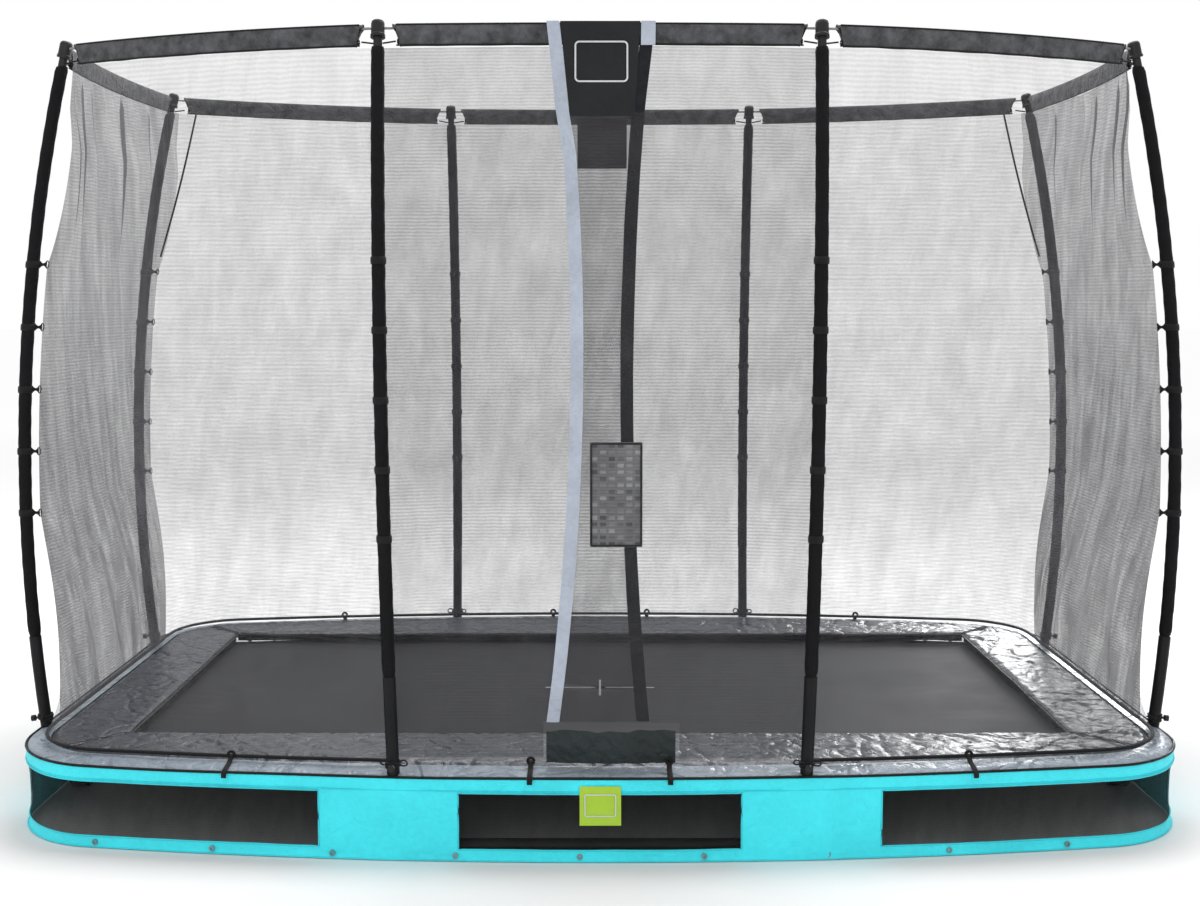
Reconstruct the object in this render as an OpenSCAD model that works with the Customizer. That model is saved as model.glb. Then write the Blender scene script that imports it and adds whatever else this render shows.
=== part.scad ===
// Rectangular low-frame trampoline with a safety net on eight bowed poles.
// Millimetres, +Z up. The origin is on the ground under the middle of the frame.
// +X runs along the long side, and -Y is the entrance side.

/* [Outline] */
// Length of the pad's outer edge
outline_l = 3680; // [3660:10:3700]
// Width of the pad's outer edge at its middle
outline_w = 2220; // [2200:10:2240]
// Radius of the gently bowed long sides
long_r = 9800; // [9000:100:10600]
// Radius of the outline's corners
corner_r = 330; // [310:5:350]

/* [Frame] */
// Outer radius of the frame tubes
rail_r = 21; // [19:0.5:21]
// Wall of the frame tubes
rail_wall = 2; // [1.5:0.5:3]
// How far the rail's centre line lies inside the outline
rail_inset = 66; // [65:0.5:67]
// Height of the rail's centre line
rail_z = 226; // [222:1:227]
// Half the spacing of the uprights of a leg on a long side
leg_half = 520; // [480:10:540]

/* [Poles] */
// Distance of the end poles from the long axis
side_pole_y = 590; // [570:5:600]
// Distance of the long-side poles from the short axis
front_pole_x = 630; // [620:5:640]
// Sideways lean of the entrance poles, as a rise over run
front_lean = 0.018; // [0:0.002:0.02]
// Furthest reach of the end poles' centre line
side_apex = 1868; // [1867:0.5:1869]
// Furthest reach of the long-side poles' centre line
front_apex = 1120; // [1116:1:1121]
// Radius of the poles' bow
bow_r = 6100; // [6000:50:6200]
// Height where the poles reach furthest out
bow_z = 1025; // [1000:5:1050]
// Height of the pole caps' tops
pole_top = 2480; // [2470:5:2490]
// Outer radius of the lower pole tube
lower_r = 19; // [18:0.5:19]
// Outer radius of the upper pole tube
upper_r = 15.5; // [15:0.5:15.5]
// Outer radius of the padded pole sleeve
sleeve_r = 20.5; // [20:0.5:21]

/* [Top ring] */
// Height of the ring rod
ring_z = 2452; // [2448:1:2456]
// Radius of the ring rod
rod_r = 4; // [3:0.5:5]
// Height of the fabric sleeve on the ring
ring_sleeve_h = 64; // [60:1:68]
// Thickness of that sleeve
ring_sleeve_t = 18; // [14:1:20]

/* [Net] */
// Thickness of the net panels
net_t = 2; // [1.5:0.5:3]
// How far the net's foot lies inside the outline
net_inset = 62; // [60:1:66]
// Height of the lowest net tie
tie_z = 967; // [950:1:980]
// Spacing of the net ties
tie_pitch = 201; // [190:1:210]
// Net ties on each pole
tie_count = 5; // [4:1:6]

/* [Entrance] */
// Height where the two flaps part under the label panel
door_top = 2140; // [2130:5:2150]
// Height of the black threshold panel's top edge
threshold_top = 385; // [375:5:390]
// Width of the reinforcing bands
band_w = 38; // [34:1:42]

/* [Pads] */
// Height of the pads' top face
pad_top = 275; // [274:1:280]
// Thickness of the spring pads
pad_t = 25; // [20:1:25]
// Half the length of the opening in the pads
open_x = 1510; // [1490:5:1520]
// Half the width of the opening in the pads
open_y = 700; // [680:5:710]

/* [Mat and springs] */
// How far the mat's edge lies inside the outline
mat_inset = 285; // [280:1:290]
// Height of the mat's top face
mat_z = 235; // [233:1:236]
// Springs along each long side
long_springs = 30; // [26:2:34]
// Springs along each end
end_springs = 13; // [9:2:15]
// Springs round each corner
corner_springs = 3; // [2:1:3]

/* [Skirt] */
// Height of the skirt's top edge
skirt_top = 232; // [226:1:234]
// Lower and upper edges of the mesh windows
window_z = [40, 207]; // [40:207]
// Half the width of the middle window
window_half = 420; // [400:5:430]
// Where the corner windows start
window_start = 835; // [820:5:850]
// Spacing of the hem eyelets
eyelet_pitch = 368; // [360:2:370]

/* [Hidden] */

fine = 48;
sweep = 720;
eps = 0.5;
hair = 0.3;

// The outline is two long arcs, four corner arcs and two straight ends.
blend_a = asin((outline_l / 2 - corner_r) / (long_r - corner_r));
long_cy = long_r - outline_w / 2;
corner_x = outline_l / 2 - corner_r;
corner_y = (long_r - corner_r) * cos(blend_a) - long_cy;

// Poles in their own frame: turn about Z, furthest reach, sideways offset, sideways lean.
POLES = [
  [-90, front_apex, -front_pole_x, -front_lean],
  [-90, front_apex, front_pole_x, front_lean],
  [0, side_apex, -side_pole_y, 0],
  [0, side_apex, side_pole_y, 0],
  [90, front_apex, -front_pole_x, 0],
  [90, front_apex, front_pole_x, 0],
  [180, side_apex, -side_pole_y, 0],
  [180, side_apex, side_pole_y, 0]
];
// Height where a leaning pole stands at its own offset
lean_z = 1250;
// Outward sag of the ring between each pole and the next
RING_SAG = [22, 48, 35, 48, 22, 48, 35, 48];

function pole_drop(z) = bow_r - sqrt(bow_r * bow_r - (z - bow_z) * (z - bow_z));
function pole_angle(z) = asin((z - bow_z) / bow_r);
function turn(p, a) = [p[0] * cos(a) - p[1] * sin(a), p[0] * sin(a) + p[1] * cos(a)];
function pole_plan(i, z) =
  turn([POLES[i][1] - pole_drop(z), POLES[i][2] + POLES[i][3] * (z - lean_z)], POLES[i][0]);
function front_x(z) = front_pole_x + front_lean * (z - lean_z);
function lerp(a, b, t) = a + (b - a) * t;
function clamp(t) = max(0, min(1, t));
function smooth(t) = clamp(t) * clamp(t) * (3 - 2 * clamp(t));

// A point on the long arc and on the corner arc of the outline moved in by inset.
function long_pt(inset, a) = [(long_r - inset) * sin(a), long_cy - (long_r - inset) * cos(a)];
function corner_pt(inset, a) =
  [corner_x + (corner_r - inset) * sin(a), -corner_y - (corner_r - inset) * cos(a)];
// A point on the outline from a pole at x0 on a long side round the corner to an end pole.
function edge_pt(inset, t, x0) =
  let(a0 = asin(x0 / (long_r - inset)),
      l1 = (long_r - inset) * (blend_a - a0) * PI / 180,
      l2 = (corner_r - inset) * (90 - blend_a) * PI / 180,
      l3 = corner_y - side_pole_y,
      s = t * (l1 + l2 + l3))
  s < l1 ? long_pt(inset, a0 + (blend_a - a0) * s / l1)
  : s < l1 + l2 ? corner_pt(inset, blend_a + (90 - blend_a) * (s - l1) / l2)
  : [outline_l / 2 - inset, -corner_y + s - l1 - l2];
function quarter_pts(inset) = concat(
  [for (i = [0 : 12]) long_pt(inset, blend_a * i / 12)],
  [for (i = [1 : 10]) corner_pt(inset, blend_a + (90 - blend_a) * i / 10)]
);
function flip_x(pts) = [for (i = [len(pts) - 1 : -1 : 0]) [-pts[i][0], pts[i][1]]];
function flip_y(pts) = [for (i = [len(pts) - 1 : -1 : 0]) [pts[i][0], -pts[i][1]]];
function outline_pts(inset) =
  let(q = quarter_pts(inset), half = concat(flip_x(q), q))
  concat(half, flip_y(half));

// The net: how far it stands inside the poles' centre line at height z.
net_foot = pad_top + 5;
net_head = ring_z + 11 - ring_sleeve_h;
function net_gap(z) =
  let(t = clamp((tie_z - z) / (tie_z - net_foot)))
  z > 2150 ? 46 * clamp((ring_z - z) / (ring_z - 2150)) : 46 + 14 * t + 24 * sin(180 * t);
function net_front_y(z) = -(front_apex - pole_drop(z) - net_gap(z));
function net_side_x(z) = side_apex - pole_drop(z) - net_gap(z);
function foot_pull(z) = pow(clamp(1 - (z - net_foot) / 620), 2);
function head_sag(z, sag) = sag * smooth((z - 1900) / (net_head - 1900));
function chord_pt(a, b, u, sag) =
  let(d = b - a, n = [d[1], -d[0]] / norm(d))
  lerp(a, b, u) + n * sag * 4 * u * (1 - u);
function corner_net(u, z, x0, x_foot) = lerp(
  chord_pt([x0, net_front_y(z)], [net_side_x(z), -side_pole_y], u, head_sag(z, 48)),
  edge_pt(net_inset, u, x_foot), foot_pull(z));
function side_net(u, z) = lerp(
  chord_pt([net_side_x(z), -side_pole_y], [net_side_x(z), side_pole_y], u, head_sag(z, 35)),
  [outline_l / 2 - net_inset, lerp(-side_pole_y, side_pole_y, u)], foot_pull(z));
function long_net(u, z) = lerp(
  chord_pt([-front_pole_x, net_front_y(z)], [front_pole_x, net_front_y(z)], u, head_sag(z, 22)),
  long_pt(net_inset, lerp(-1, 1, u) * asin(front_pole_x / (long_r - net_inset))), foot_pull(z));

// A closed sheet from a grid of outer points and the same grid moved by shift.
module sheet(grid, shift) {
  rows = len(grid);
  cols = len(grid[0]);
  n = rows * cols;
  outer = [for (r = grid) for (p = r) p];
  inner = [for (p = outer) p + shift];
  function id(r, c) = r * cols + c;
  skin = [for (r = [0 : rows - 2]) for (c = [0 : cols - 2])
    for (f = [[id(r, c), id(r + 1, c), id(r + 1, c + 1)], [id(r, c), id(r + 1, c + 1), id(r, c + 1)]]) f];
  back = [for (f = skin) [f[2] + n, f[1] + n, f[0] + n]];
  rim = concat(
    [for (c = [0 : cols - 2]) [id(0, c), id(0, c + 1)]],
    [for (r = [0 : rows - 2]) [id(r, cols - 1), id(r + 1, cols - 1)]],
    [for (c = [cols - 1 : -1 : 1]) [id(rows - 1, c), id(rows - 1, c - 1)]],
    [for (r = [rows - 1 : -1 : 1]) [id(r, 0), id(r - 1, 0)]]
  );
  edge = [for (e = rim) for (f = [[e[0], e[1], e[1] + n], [e[0], e[1] + n, e[0] + n]]) f];
  polyhedron(points = concat(outer, inner), faces = concat(skin, back, edge));
}

module rod(p, q, r) {
  d = q - p;
  translate(p)
    rotate([0, acos(d[2] / norm(d)), atan2(d[1], d[0])])
      cylinder(h = norm(d), r = r, $fn = fine);
}

module ring_profile(outer, inner) {
  difference() {
    circle(r = outer, $fn = fine);
    circle(r = inner, $fn = fine);
  }
}

// A sweep across the middle is made as two halves that meet at the middle.
// Trim takes a hair off both ends of each length, so that neighbours don't touch.
module long_sweep(inset, a0, a1, trim = 0) {
  cuts = a0 < 0 && a1 > 0 ? [a0, 0, a1] : [a0, a1];
  ta = trim / long_r * 180 / PI;
  for (i = [0 : len(cuts) - 2])
    translate([0, long_cy, 0])
      rotate_extrude(start = cuts[i] + ta - 90, angle = cuts[i + 1] - cuts[i] - 2 * ta, $fn = sweep)
        translate([long_r - inset, 0]) children();
}

module corner_sweep(inset, a0, a1, trim = 0) {
  ta = trim / corner_r * 180 / PI;
  translate([corner_x, -corner_y, 0])
    rotate_extrude(start = a0 + ta - 90, angle = a1 - a0 - 2 * ta, $fn = sweep / 2)
      translate([corner_r - inset, 0]) children();
}

module end_sweep(inset, y0, y1) {
  translate([outline_l / 2 - inset, y1, 0])
    rotate([90, 0, 0])
      linear_extrude(height = y1 - y0) children();
}

module both_x() {
  children();
  mirror([1, 0, 0]) children();
}

module both_y() {
  children();
  mirror([0, 1, 0]) children();
}

module at_pole(i) {
  rotate([0, 0, POLES[i][0]])
    translate([POLES[i][1], POLES[i][2], lean_z])
      rotate([-atan(POLES[i][3]), 0, 0])
        translate([0, 0, -lean_z]) children();
}

// A tube along a pole's bow between two heights, in the pole's own frame.
module bow_sweep(z0, z1) {
  translate([-bow_r, 0, bow_z])
    rotate([90, 0, 0])
      rotate_extrude(start = pole_angle(z0), angle = pole_angle(z1) - pole_angle(z0), $fn = sweep)
        translate([bow_r, 0]) children();
}

// Moves to the pole's centre line at height z, with +Z along the pole.
module on_bow(z) {
  translate([-pole_drop(z), 0, z])
    rotate([0, -pole_angle(z), 0]) children();
}

// ---------- Frame ----------
rail_profile_in = rail_r - rail_wall;

module rail_long() {
  translate([0, 0, rail_z])
    long_sweep(rail_inset, -blend_a, blend_a) ring_profile(rail_r, rail_profile_in);
}

module top_rail_front() color("dimgray") rail_long();
module top_rail_back() color("dimgray") mirror([0, 1, 0]) rail_long();

module top_rail_sides() color("dimgray")
  both_x()
    translate([0, 0, rail_z])
      end_sweep(rail_inset, -corner_y, corner_y) ring_profile(rail_r, rail_profile_in);

module top_rail_corners() color("dimgray")
  both_x() both_y()
    translate([0, 0, rail_z])
      corner_sweep(rail_inset, blend_a, 90) ring_profile(rail_r, rail_profile_in);

// A U-shaped leg in the XZ plane: uprights at +-half, on two foot plates.
foot_t = 4;
leg_bend = 80;
base_z = foot_t + rail_r - 1;

module u_tube(half, top, r) {
  for (s = [0, 1]) mirror([s, 0, 0]) {
    translate([half, 0, base_z + leg_bend])
      cylinder(h = top - base_z - leg_bend, r = r, $fn = fine);
    translate([half - leg_bend, 0, base_z + leg_bend])
      rotate([90, 0, 0])
        rotate_extrude(start = -90, angle = 90, $fn = 96)
          translate([leg_bend, 0]) circle(r = r, $fn = fine);
  }
  translate([-half + leg_bend, 0, base_z])
    rotate([0, 90, 0])
      cylinder(h = 2 * (half - leg_bend), r = r, $fn = fine);
}

module u_leg(half, top) {
  u_tube(half, top, rail_r);
  for (s = [-1, 1])
    translate([s * (half - leg_bend - 40) - 40, -30, 0])
      cube([80, 60, foot_t]);
}

front_leg_y = -(sqrt(pow(long_r - rail_inset, 2) - leg_half * leg_half) - long_cy);
leg_top = rail_z - rail_r - eps;

module leg_front() color("dimgray") translate([0, front_leg_y, 0]) u_leg(leg_half, leg_top);
module leg_back() color("dimgray") translate([0, -front_leg_y, 0]) u_leg(leg_half, leg_top);
module legs_side() color("dimgray")
  both_x()
    translate([outline_l / 2 - rail_inset, 0, 0])
      rotate([0, 0, 90]) u_leg(side_pole_y - 90, leg_top);

// Sockets hold the feet of the poles outside the rail. A saddle block on each reaches in
// under the rail.
socket_mid = 145;
socket_from = -50;
socket_to = 54;
socket_floor = 4;
socket_wall = 2.3;
socket_gap = 0.8;
socket_r = lower_r + socket_gap + socket_wall;
saddle_w = 32;
saddle_h = 28;
saddle_reach = 58;
pole_foot_z = socket_mid + socket_from + socket_floor + 3;

module pole_sockets() color("dimgray")
  for (i = [0 : 7]) at_pole(i)
    difference() {
      union() {
        on_bow(socket_mid)
          translate([0, 0, socket_from]) cylinder(h = socket_to - socket_from, r = socket_r, $fn = fine);
        translate([-pole_drop(socket_mid) - saddle_reach, -saddle_w / 2, leg_top - saddle_h])
          cube([saddle_reach, saddle_w, saddle_h]);
      }
      on_bow(socket_mid)
        translate([0, 0, socket_from + socket_floor])
          cylinder(h = socket_to - socket_from + saddle_h, r = lower_r + socket_gap, $fn = fine);
    }

module socket_bolts() color("silver")
  for (i = [0 : 7], h = [-30, -6]) at_pole(i) on_bow(socket_mid)
    translate([socket_r + 0.3, 0, h])
      rotate([0, 90, 0]) {
        cylinder(h = 1.6, r = 8, $fn = fine);
        translate([0, 0, 1.6]) cylinder(h = 4, r = 6.5, $fn = 6);
      }

module base_knobs() color("black")
  for (i = [0 : 7]) at_pole(i) on_bow(pad_top + 16)
    rotate([0, 90, 0]) {
      translate([0, 0, lower_r + 0.3]) cylinder(h = 14, r = 4, $fn = fine);
      translate([0, 0, lower_r + 14.3]) cylinder(h = 12, r = 10, $fn = fine);
    }

// ---------- Poles ----------
joint_z = pad_top + 285;
sleeve_top = pole_top - 88;

module pole(i) color([0.1, 0.1, 0.11]) at_pole(i) {
  bow_sweep(pole_foot_z, joint_z) ring_profile(lower_r, lower_r - 3);
  bow_sweep(joint_z - 120, sleeve_top - 4) ring_profile(upper_r, upper_r - 1.8);
}

module pole_front_left() pole(0);
module pole_front_right() pole(1);
module pole_right_front() pole(2);
module pole_right_back() pole(3);
module pole_back_right() pole(4);
module pole_back_left() pole(5);
module pole_left_back() pole(6);
module pole_left_front() pole(7);

module pole_sleeves() color([0.07, 0.07, 0.08])
  for (i = [0 : 7]) at_pole(i)
    bow_sweep(joint_z + 2, sleeve_top) ring_profile(sleeve_r, upper_r + 0.3);

// A cap has a plug down the tube, a bare neck, and a rounded head that takes the ring rods.
neck_r = upper_r - 2.3;
cap_r = 20;
cap_h = 54;

module pole_caps() color([0.08, 0.08, 0.09])
  for (i = [0 : 7]) at_pole(i) on_bow(sleeve_top) {
    translate([0, 0, -60]) cylinder(h = 60 + 34, r = neck_r, $fn = fine);
    translate([0, 0, 33])
      rotate_extrude($fn = fine)
        polygon([[0, 0], [cap_r + 2, 0], [cap_r + 2, 8], [cap_r, 11], [cap_r, cap_h - 12],
                 [cap_r - 2, cap_h - 5], [cap_r - 7, cap_h - 1], [cap_r - 12, cap_h], [0, cap_h]]);
  }

// Each tie is a ring round the sleeve with a waisted strap to the net.
module pole_ties() color([0.06, 0.06, 0.07])
  for (i = [0 : 7], k = [0 : tie_count - 1])
    let(z = tie_z + k * tie_pitch)
      at_pole(i) on_bow(z) {
        difference() {
          cylinder(h = 22, r = sleeve_r + 2.2, center = true, $fn = fine);
          cylinder(h = 30, r = sleeve_r + 0.4, center = true, $fn = fine);
        }
        rotate([90, 0, 0])
          linear_extrude(height = 3, center = true)
            polygon([[-sleeve_r - 1.2, -11], [-sleeve_r - 10, -5], [-43.5, -13],
                     [-43.5, 13], [-sleeve_r - 10, 5], [-sleeve_r - 1.2, 11]]);
      }

// ---------- Top ring ----------
// An arc in plan from p to q that bulges outward by sag, at height z, less trim at each end.
module plan_arc(p, q, sag, z, trim) {
  d = q - p;
  half = norm(d) / 2;
  r = (half * half + sag * sag) / (2 * sag);
  out = [d[1], -d[0]] / norm(d);
  c = (p + q) / 2 + out * (sag - r);
  mid = atan2(out[1], out[0]);
  span = asin(half / r) - trim / r * 180 / PI;
  translate([c[0], c[1], z])
    rotate_extrude(start = mid - span, angle = 2 * span, $fn = sweep)
      translate([r, 0]) children();
}

module ring_run(trim, z) {
  for (i = [0 : 7])
    plan_arc(pole_plan(i, ring_z), pole_plan((i + 1) % 8, ring_z), RING_SAG[i], z, trim) children();
}

ring_trim = 55;

module ring_rods() color("gray")
  ring_run(cap_r - 5, ring_z) circle(r = rod_r, $fn = fine);

module ring_sleeves() color([0.18, 0.18, 0.19])
  ring_run(ring_trim, ring_z)
    difference() {
      translate([-ring_sleeve_t / 2, 11 - ring_sleeve_h]) square([ring_sleeve_t, ring_sleeve_h]);
      circle(r = rod_r + 0.3, $fn = fine);
    }

// Elastic cords run from the neck of each cap to the lower corners of the sleeves.
module ring_cords() color([0.05, 0.05, 0.05])
  for (i = [0 : 7], s = [-1, 1])
    let(a = pole_plan(i, sleeve_top + 16),
        b = pole_plan((i + s + 8) % 8, ring_z),
        d = (b - a) / norm(b - a),
        p = a + d * (neck_r + 1.2),
        q = a + d * (ring_trim - 2))
      rod([p[0], p[1], sleeve_top + 15], [q[0], q[1], net_head + 14], 2.5);

// ---------- Net ----------
net_grey = [0.55, 0.56, 0.58];
net_rows = 12;
function seam(z) = 0.006 + 0.03 * smooth((z - 2150) / 120);

function net_z(r) = lerp(net_foot, net_head - 1, r / net_rows);

module corner_net_panel(lean) color(net_grey)
  sheet([for (r = [0 : net_rows]) [for (c = [0 : 14])
    let(z = net_z(r),
        x0 = front_pole_x + lean * (z - lean_z),
        x_foot = front_pole_x + lean * (net_foot - lean_z),
        p = corner_net(lerp(seam(z), 1 - seam(z), c / 14), z, x0, x_foot))
      [p[0], p[1], z]]],
    [-0.37, 0.93, 0] * net_t);

module side_net_panel() color(net_grey)
  sheet([for (r = [0 : net_rows]) [for (c = [0 : 6])
    let(z = net_z(r), p = side_net(lerp(seam(z), 1 - seam(z), c / 6), z)) [p[0], p[1], z]]],
    [-net_t, 0, 0]);

module long_net_panel() color(net_grey)
  sheet([for (r = [0 : net_rows]) [for (c = [0 : 6])
    let(z = net_z(r), p = long_net(lerp(seam(z), 1 - seam(z), c / 6), z)) [p[0], p[1], z]]],
    [0, net_t, 0]);

module net_front_right() corner_net_panel(front_lean);
module net_front_left() mirror([1, 0, 0]) corner_net_panel(front_lean);
module net_back_right() mirror([0, 1, 0]) corner_net_panel(0);
module net_back_left() mirror([1, 0, 0]) mirror([0, 1, 0]) corner_net_panel(0);
module net_right() side_net_panel();
module net_left() mirror([1, 0, 0]) side_net_panel();
module net_back() mirror([0, 1, 0]) long_net_panel();

// ---------- Entrance ----------
// The outer flap hangs on the right and the inner flap on the left. Each swings about
// the slanted line from its top corner to the foot of its pole.
outer_y = -1016;
inner_y = -1004;
flap_foot_x = 600;
flap_foot_z = 296;
notch = [-170, 238];
notch_z = threshold_top + 10;
flap_gap = 5;

function light_x(z) = -68 - 72 * pow((z - 1500) / 1100, 2);
function dark_x(z) = 79 + 50 * pow((z - 1400) / 1000, 2);
outer_tip_x = light_x(door_top) - band_w / 2;
inner_tip_x = dark_x(door_top) + band_w / 2;
function outer_slant(z) = lerp(flap_foot_x, outer_tip_x, (z - flap_foot_z) / (door_top - flap_foot_z));
function inner_slant(z) = lerp(-flap_foot_x, inner_tip_x, (z - flap_foot_z) / (door_top - flap_foot_z));

flap_steps = 12;
function flap_z(i) = lerp(notch_z, door_top - 30, i / flap_steps);

// A flat plate in the XZ plane, t thick, centred on y.
module plate(pts, y, t) {
  translate([0, y + t / 2, 0])
    rotate([90, 0, 0])
      linear_extrude(height = t) polygon(pts);
}

module door_flap_right() color(net_grey)
  plate(concat(
    [[flap_foot_x - 12, flap_foot_z], [notch[1], flap_foot_z], [notch[1], notch_z]],
    [for (i = [0 : flap_steps]) [light_x(flap_z(i)) - band_w / 2, flap_z(i)]]
  ), outer_y, net_t);

module door_flap_left() color(net_grey)
  plate(concat(
    [[-flap_foot_x + 12, flap_foot_z], [notch[0], flap_foot_z], [notch[0], notch_z]],
    [for (i = [0 : flap_steps]) [dark_x(flap_z(i)) + band_w / 2, flap_z(i)]]
  ), inner_y, net_t);

// The fixed net beside each flap is flat past the middle, and then ruled out to the pole.
head_shift = net_front_y(net_head) - 14 - outer_y;
function tip_y(z, y) = y + head_shift * smooth((z - door_top) / (net_head - door_top));
flat_x = 160;
fixed_cols = 5;
fixed_rows = 14;
function fixed_z(r) = lerp(flap_foot_z + 30, net_head - 1, r / fixed_rows);

module door_panel_right() color(net_grey)
  sheet([for (r = [0 : fixed_rows]) [for (c = [0 : fixed_cols])
    let(z = fixed_z(r),
        x0 = z < door_top ? outer_slant(z) + flap_gap : light_x(z) - band_w / 2,
        x1 = front_x(z) - 8 - 30 * smooth((z - 2150) / 120),
        y0 = tip_y(z, outer_y),
        p0 = [max(x0 + 1, flat_x), y0],
        p1 = [x1, lerp(net_front_y(z), long_pt(net_inset, 3.7)[1], foot_pull(z))],
        p = c == 0 ? [x0, y0] : lerp(p0, p1, (c - 1) / (fixed_cols - 1)))
      [p[0], p[1], z]]],
    [0, net_t, 0]);

module door_panel_left() color(net_grey)
  sheet([for (r = [0 : fixed_rows]) [for (c = [0 : fixed_cols])
    let(z = fixed_z(r),
        x0 = z < door_top ? inner_slant(z) - flap_gap : dark_x(z) + band_w / 2,
        x1 = -front_x(z) + 8 + 30 * smooth((z - 2150) / 120),
        y0 = tip_y(z, inner_y),
        p0 = [min(x0 - 1, -flat_x), y0],
        p1 = [x1, lerp(net_front_y(z), long_pt(net_inset, 3.7)[1], foot_pull(z))],
        p = c == fixed_cols ? [x0, y0] : lerp(p1, p0, c / (fixed_cols - 1)))
      [p[0], p[1], z]]],
    [0, net_t, 0]);

// The bands stop where they would reach past the slanted line.
band_head = 1985;
function band_z(i) = lerp(notch_z, band_head, i / flap_steps);

module band_light() color([0.7, 0.74, 0.82])
  plate(concat(
    [for (i = [0 : flap_steps]) [light_x(band_z(i)) + band_w / 2, band_z(i)]],
    [for (i = [flap_steps : -1 : 0]) [light_x(band_z(i)) - band_w / 2, band_z(i)]]
  ), outer_y - 2.2, 1.6);

module band_dark() color([0.12, 0.12, 0.14])
  plate(concat(
    [for (i = [0 : flap_steps]) [dark_x(band_z(i)) - band_w / 2, band_z(i)]],
    [for (i = [flap_steps : -1 : 0]) [dark_x(band_z(i)) + band_w / 2, band_z(i)]]
  ), inner_y - 2.2, 1.6);

// The label panel and the tops of the bands lean in to hang over the ring.
label_foot = pole_top - 290;
label_lean = 4.5;
label_y = -1012;

module leaning(z) translate([0, label_y, z]) rotate([-label_lean, 0, 0]) translate([0, 0, -z]) children();

module label_panel() color([0.07, 0.07, 0.08])
  leaning(label_foot)
    plate([[-88, label_foot], [101, label_foot], [118, pole_top - 14], [-116, pole_top - 14]], 0, 2);

module band_tops() color([0.7, 0.74, 0.82])
  leaning(label_foot) {
    plate([[-124, label_foot - 46], [-86, label_foot - 46], [-90, label_foot],
           [-118, pole_top - 14], [-156, pole_top - 14]], 0, 1.6);
    plate([[124, pole_top - 84], [160, pole_top - 84], [162, pole_top - 14], [120, pole_top - 14]], 0, 1.6);
  }

module net_patch() color([0.3, 0.3, 0.31])
  plate([[-66, 2042], [78, 2042], [78, 2184], [-66, 2184]], -975, 1.5);

module door_card() color([0.45, 0.45, 0.46])
  plate([[-30, 925], [126, 925], [126, 1238], [-30, 1238]], inner_y - 4.3, 1.2);

module door_threshold() color([0.1, 0.12, 0.12])
  plate([[-160, net_foot], [225, net_foot], [225, threshold_top], [-160, threshold_top]],
        outer_y - 14, 3);

// Straps that tie the net's foot down over the pad's edge.
module net_ties() color([0.05, 0.05, 0.05])
  both_x() both_y()
    for (x = [207, 1120])
      let(a = asin(x / long_r))
        translate([0, long_cy, 0]) rotate([0, 0, a - 90]) {
          translate([long_r - 56, -9, pad_top - 12]) cube([46, 18, 3]);
          translate([long_r - 58, -7, pad_top - 12]) cube([3, 14, 16]);
        }

// ---------- Pads ----------
pad_split = 78;
mitre = 1;

module pad_region(sector) {
  translate([0, 0, pad_top - pad_t])
    linear_extrude(height = pad_t)
      intersection() {
        difference() {
          polygon(outline_pts(pad_split));
          square([2 * open_x, 2 * open_y], center = true);
        }
        polygon(sector);
      }
}

reach_x = 1900;
reach_y = reach_x - open_x + open_y;

module pad_front() color([0.36, 0.37, 0.41])
  pad_region([[-open_x + mitre, -open_y], [-reach_x + mitre, -reach_y],
              [reach_x - mitre, -reach_y], [open_x - mitre, -open_y]]);
module pad_back() color([0.36, 0.37, 0.41])
  pad_region([[-open_x + mitre, open_y], [-reach_x + mitre, reach_y],
              [reach_x - mitre, reach_y], [open_x - mitre, open_y]]);
module pad_right() color([0.36, 0.37, 0.41])
  pad_region([[open_x, -open_y + mitre], [reach_x, -reach_y + mitre],
              [reach_x, reach_y - mitre], [open_x, open_y - mitre]]);
module pad_left() color([0.36, 0.37, 0.41])
  pad_region([[-open_x, -open_y + mitre], [-reach_x, -reach_y + mitre],
              [-reach_x, reach_y - mitre], [-open_x, open_y - mitre]]);

module pole_cuts(z) {
  for (i = [0 : 7]) at_pole(i)
    translate([-pole_drop(z), 0, z - 40]) cylinder(h = 80, r = lower_r + 4, $fn = fine);
}

strip_z = pad_top - 23;
strip_t = 10;

module pad_edge_strips() color([0.68, 0.7, 0.74])
  difference() {
    translate([0, 0, strip_z])
      linear_extrude(height = strip_t)
        difference() {
          polygon(outline_pts(8));
          polygon(outline_pts(pad_split));
        }
    pole_cuts(strip_z);
  }

piping_r = 6.5;
piping_gap = lower_r + 12;

// The piping runs round the outline and stops short of each pole. This is the -Y half of
// it, with the long-side poles at px.
module piping_half(px) {
  a0 = asin((px - piping_gap) / long_r);
  a1 = asin((px + piping_gap) / long_r);
  long_sweep(1, -a0, a0, hair) circle(r = piping_r, $fn = fine);
  both_x() {
    long_sweep(1, a1, blend_a, hair) circle(r = piping_r, $fn = fine);
    corner_sweep(1, blend_a, 90, hair) circle(r = piping_r, $fn = fine);
    end_sweep(1, -corner_y + hair, -side_pole_y - piping_gap) circle(r = piping_r, $fn = fine);
  }
}

module pad_piping() color([0.05, 0.05, 0.06])
  translate([0, 0, strip_z - 3]) {
    piping_half(front_x(strip_z));
    mirror([0, 1, 0]) piping_half(front_pole_x);
    both_x()
      end_sweep(1, -side_pole_y + piping_gap, side_pole_y - piping_gap) circle(r = piping_r, $fn = fine);
  }

// ---------- Skirt ----------
skirt_t = 2;
window_a0 = asin(window_half / long_r);
window_a1 = asin(window_start / long_r);
window_end = 84;
side_window = 360;
window_h = window_z[1] - window_z[0];

module band_profile(z0, z1, inset, t) translate([-inset - t, z0]) square([t, z1 - z0]);

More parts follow.
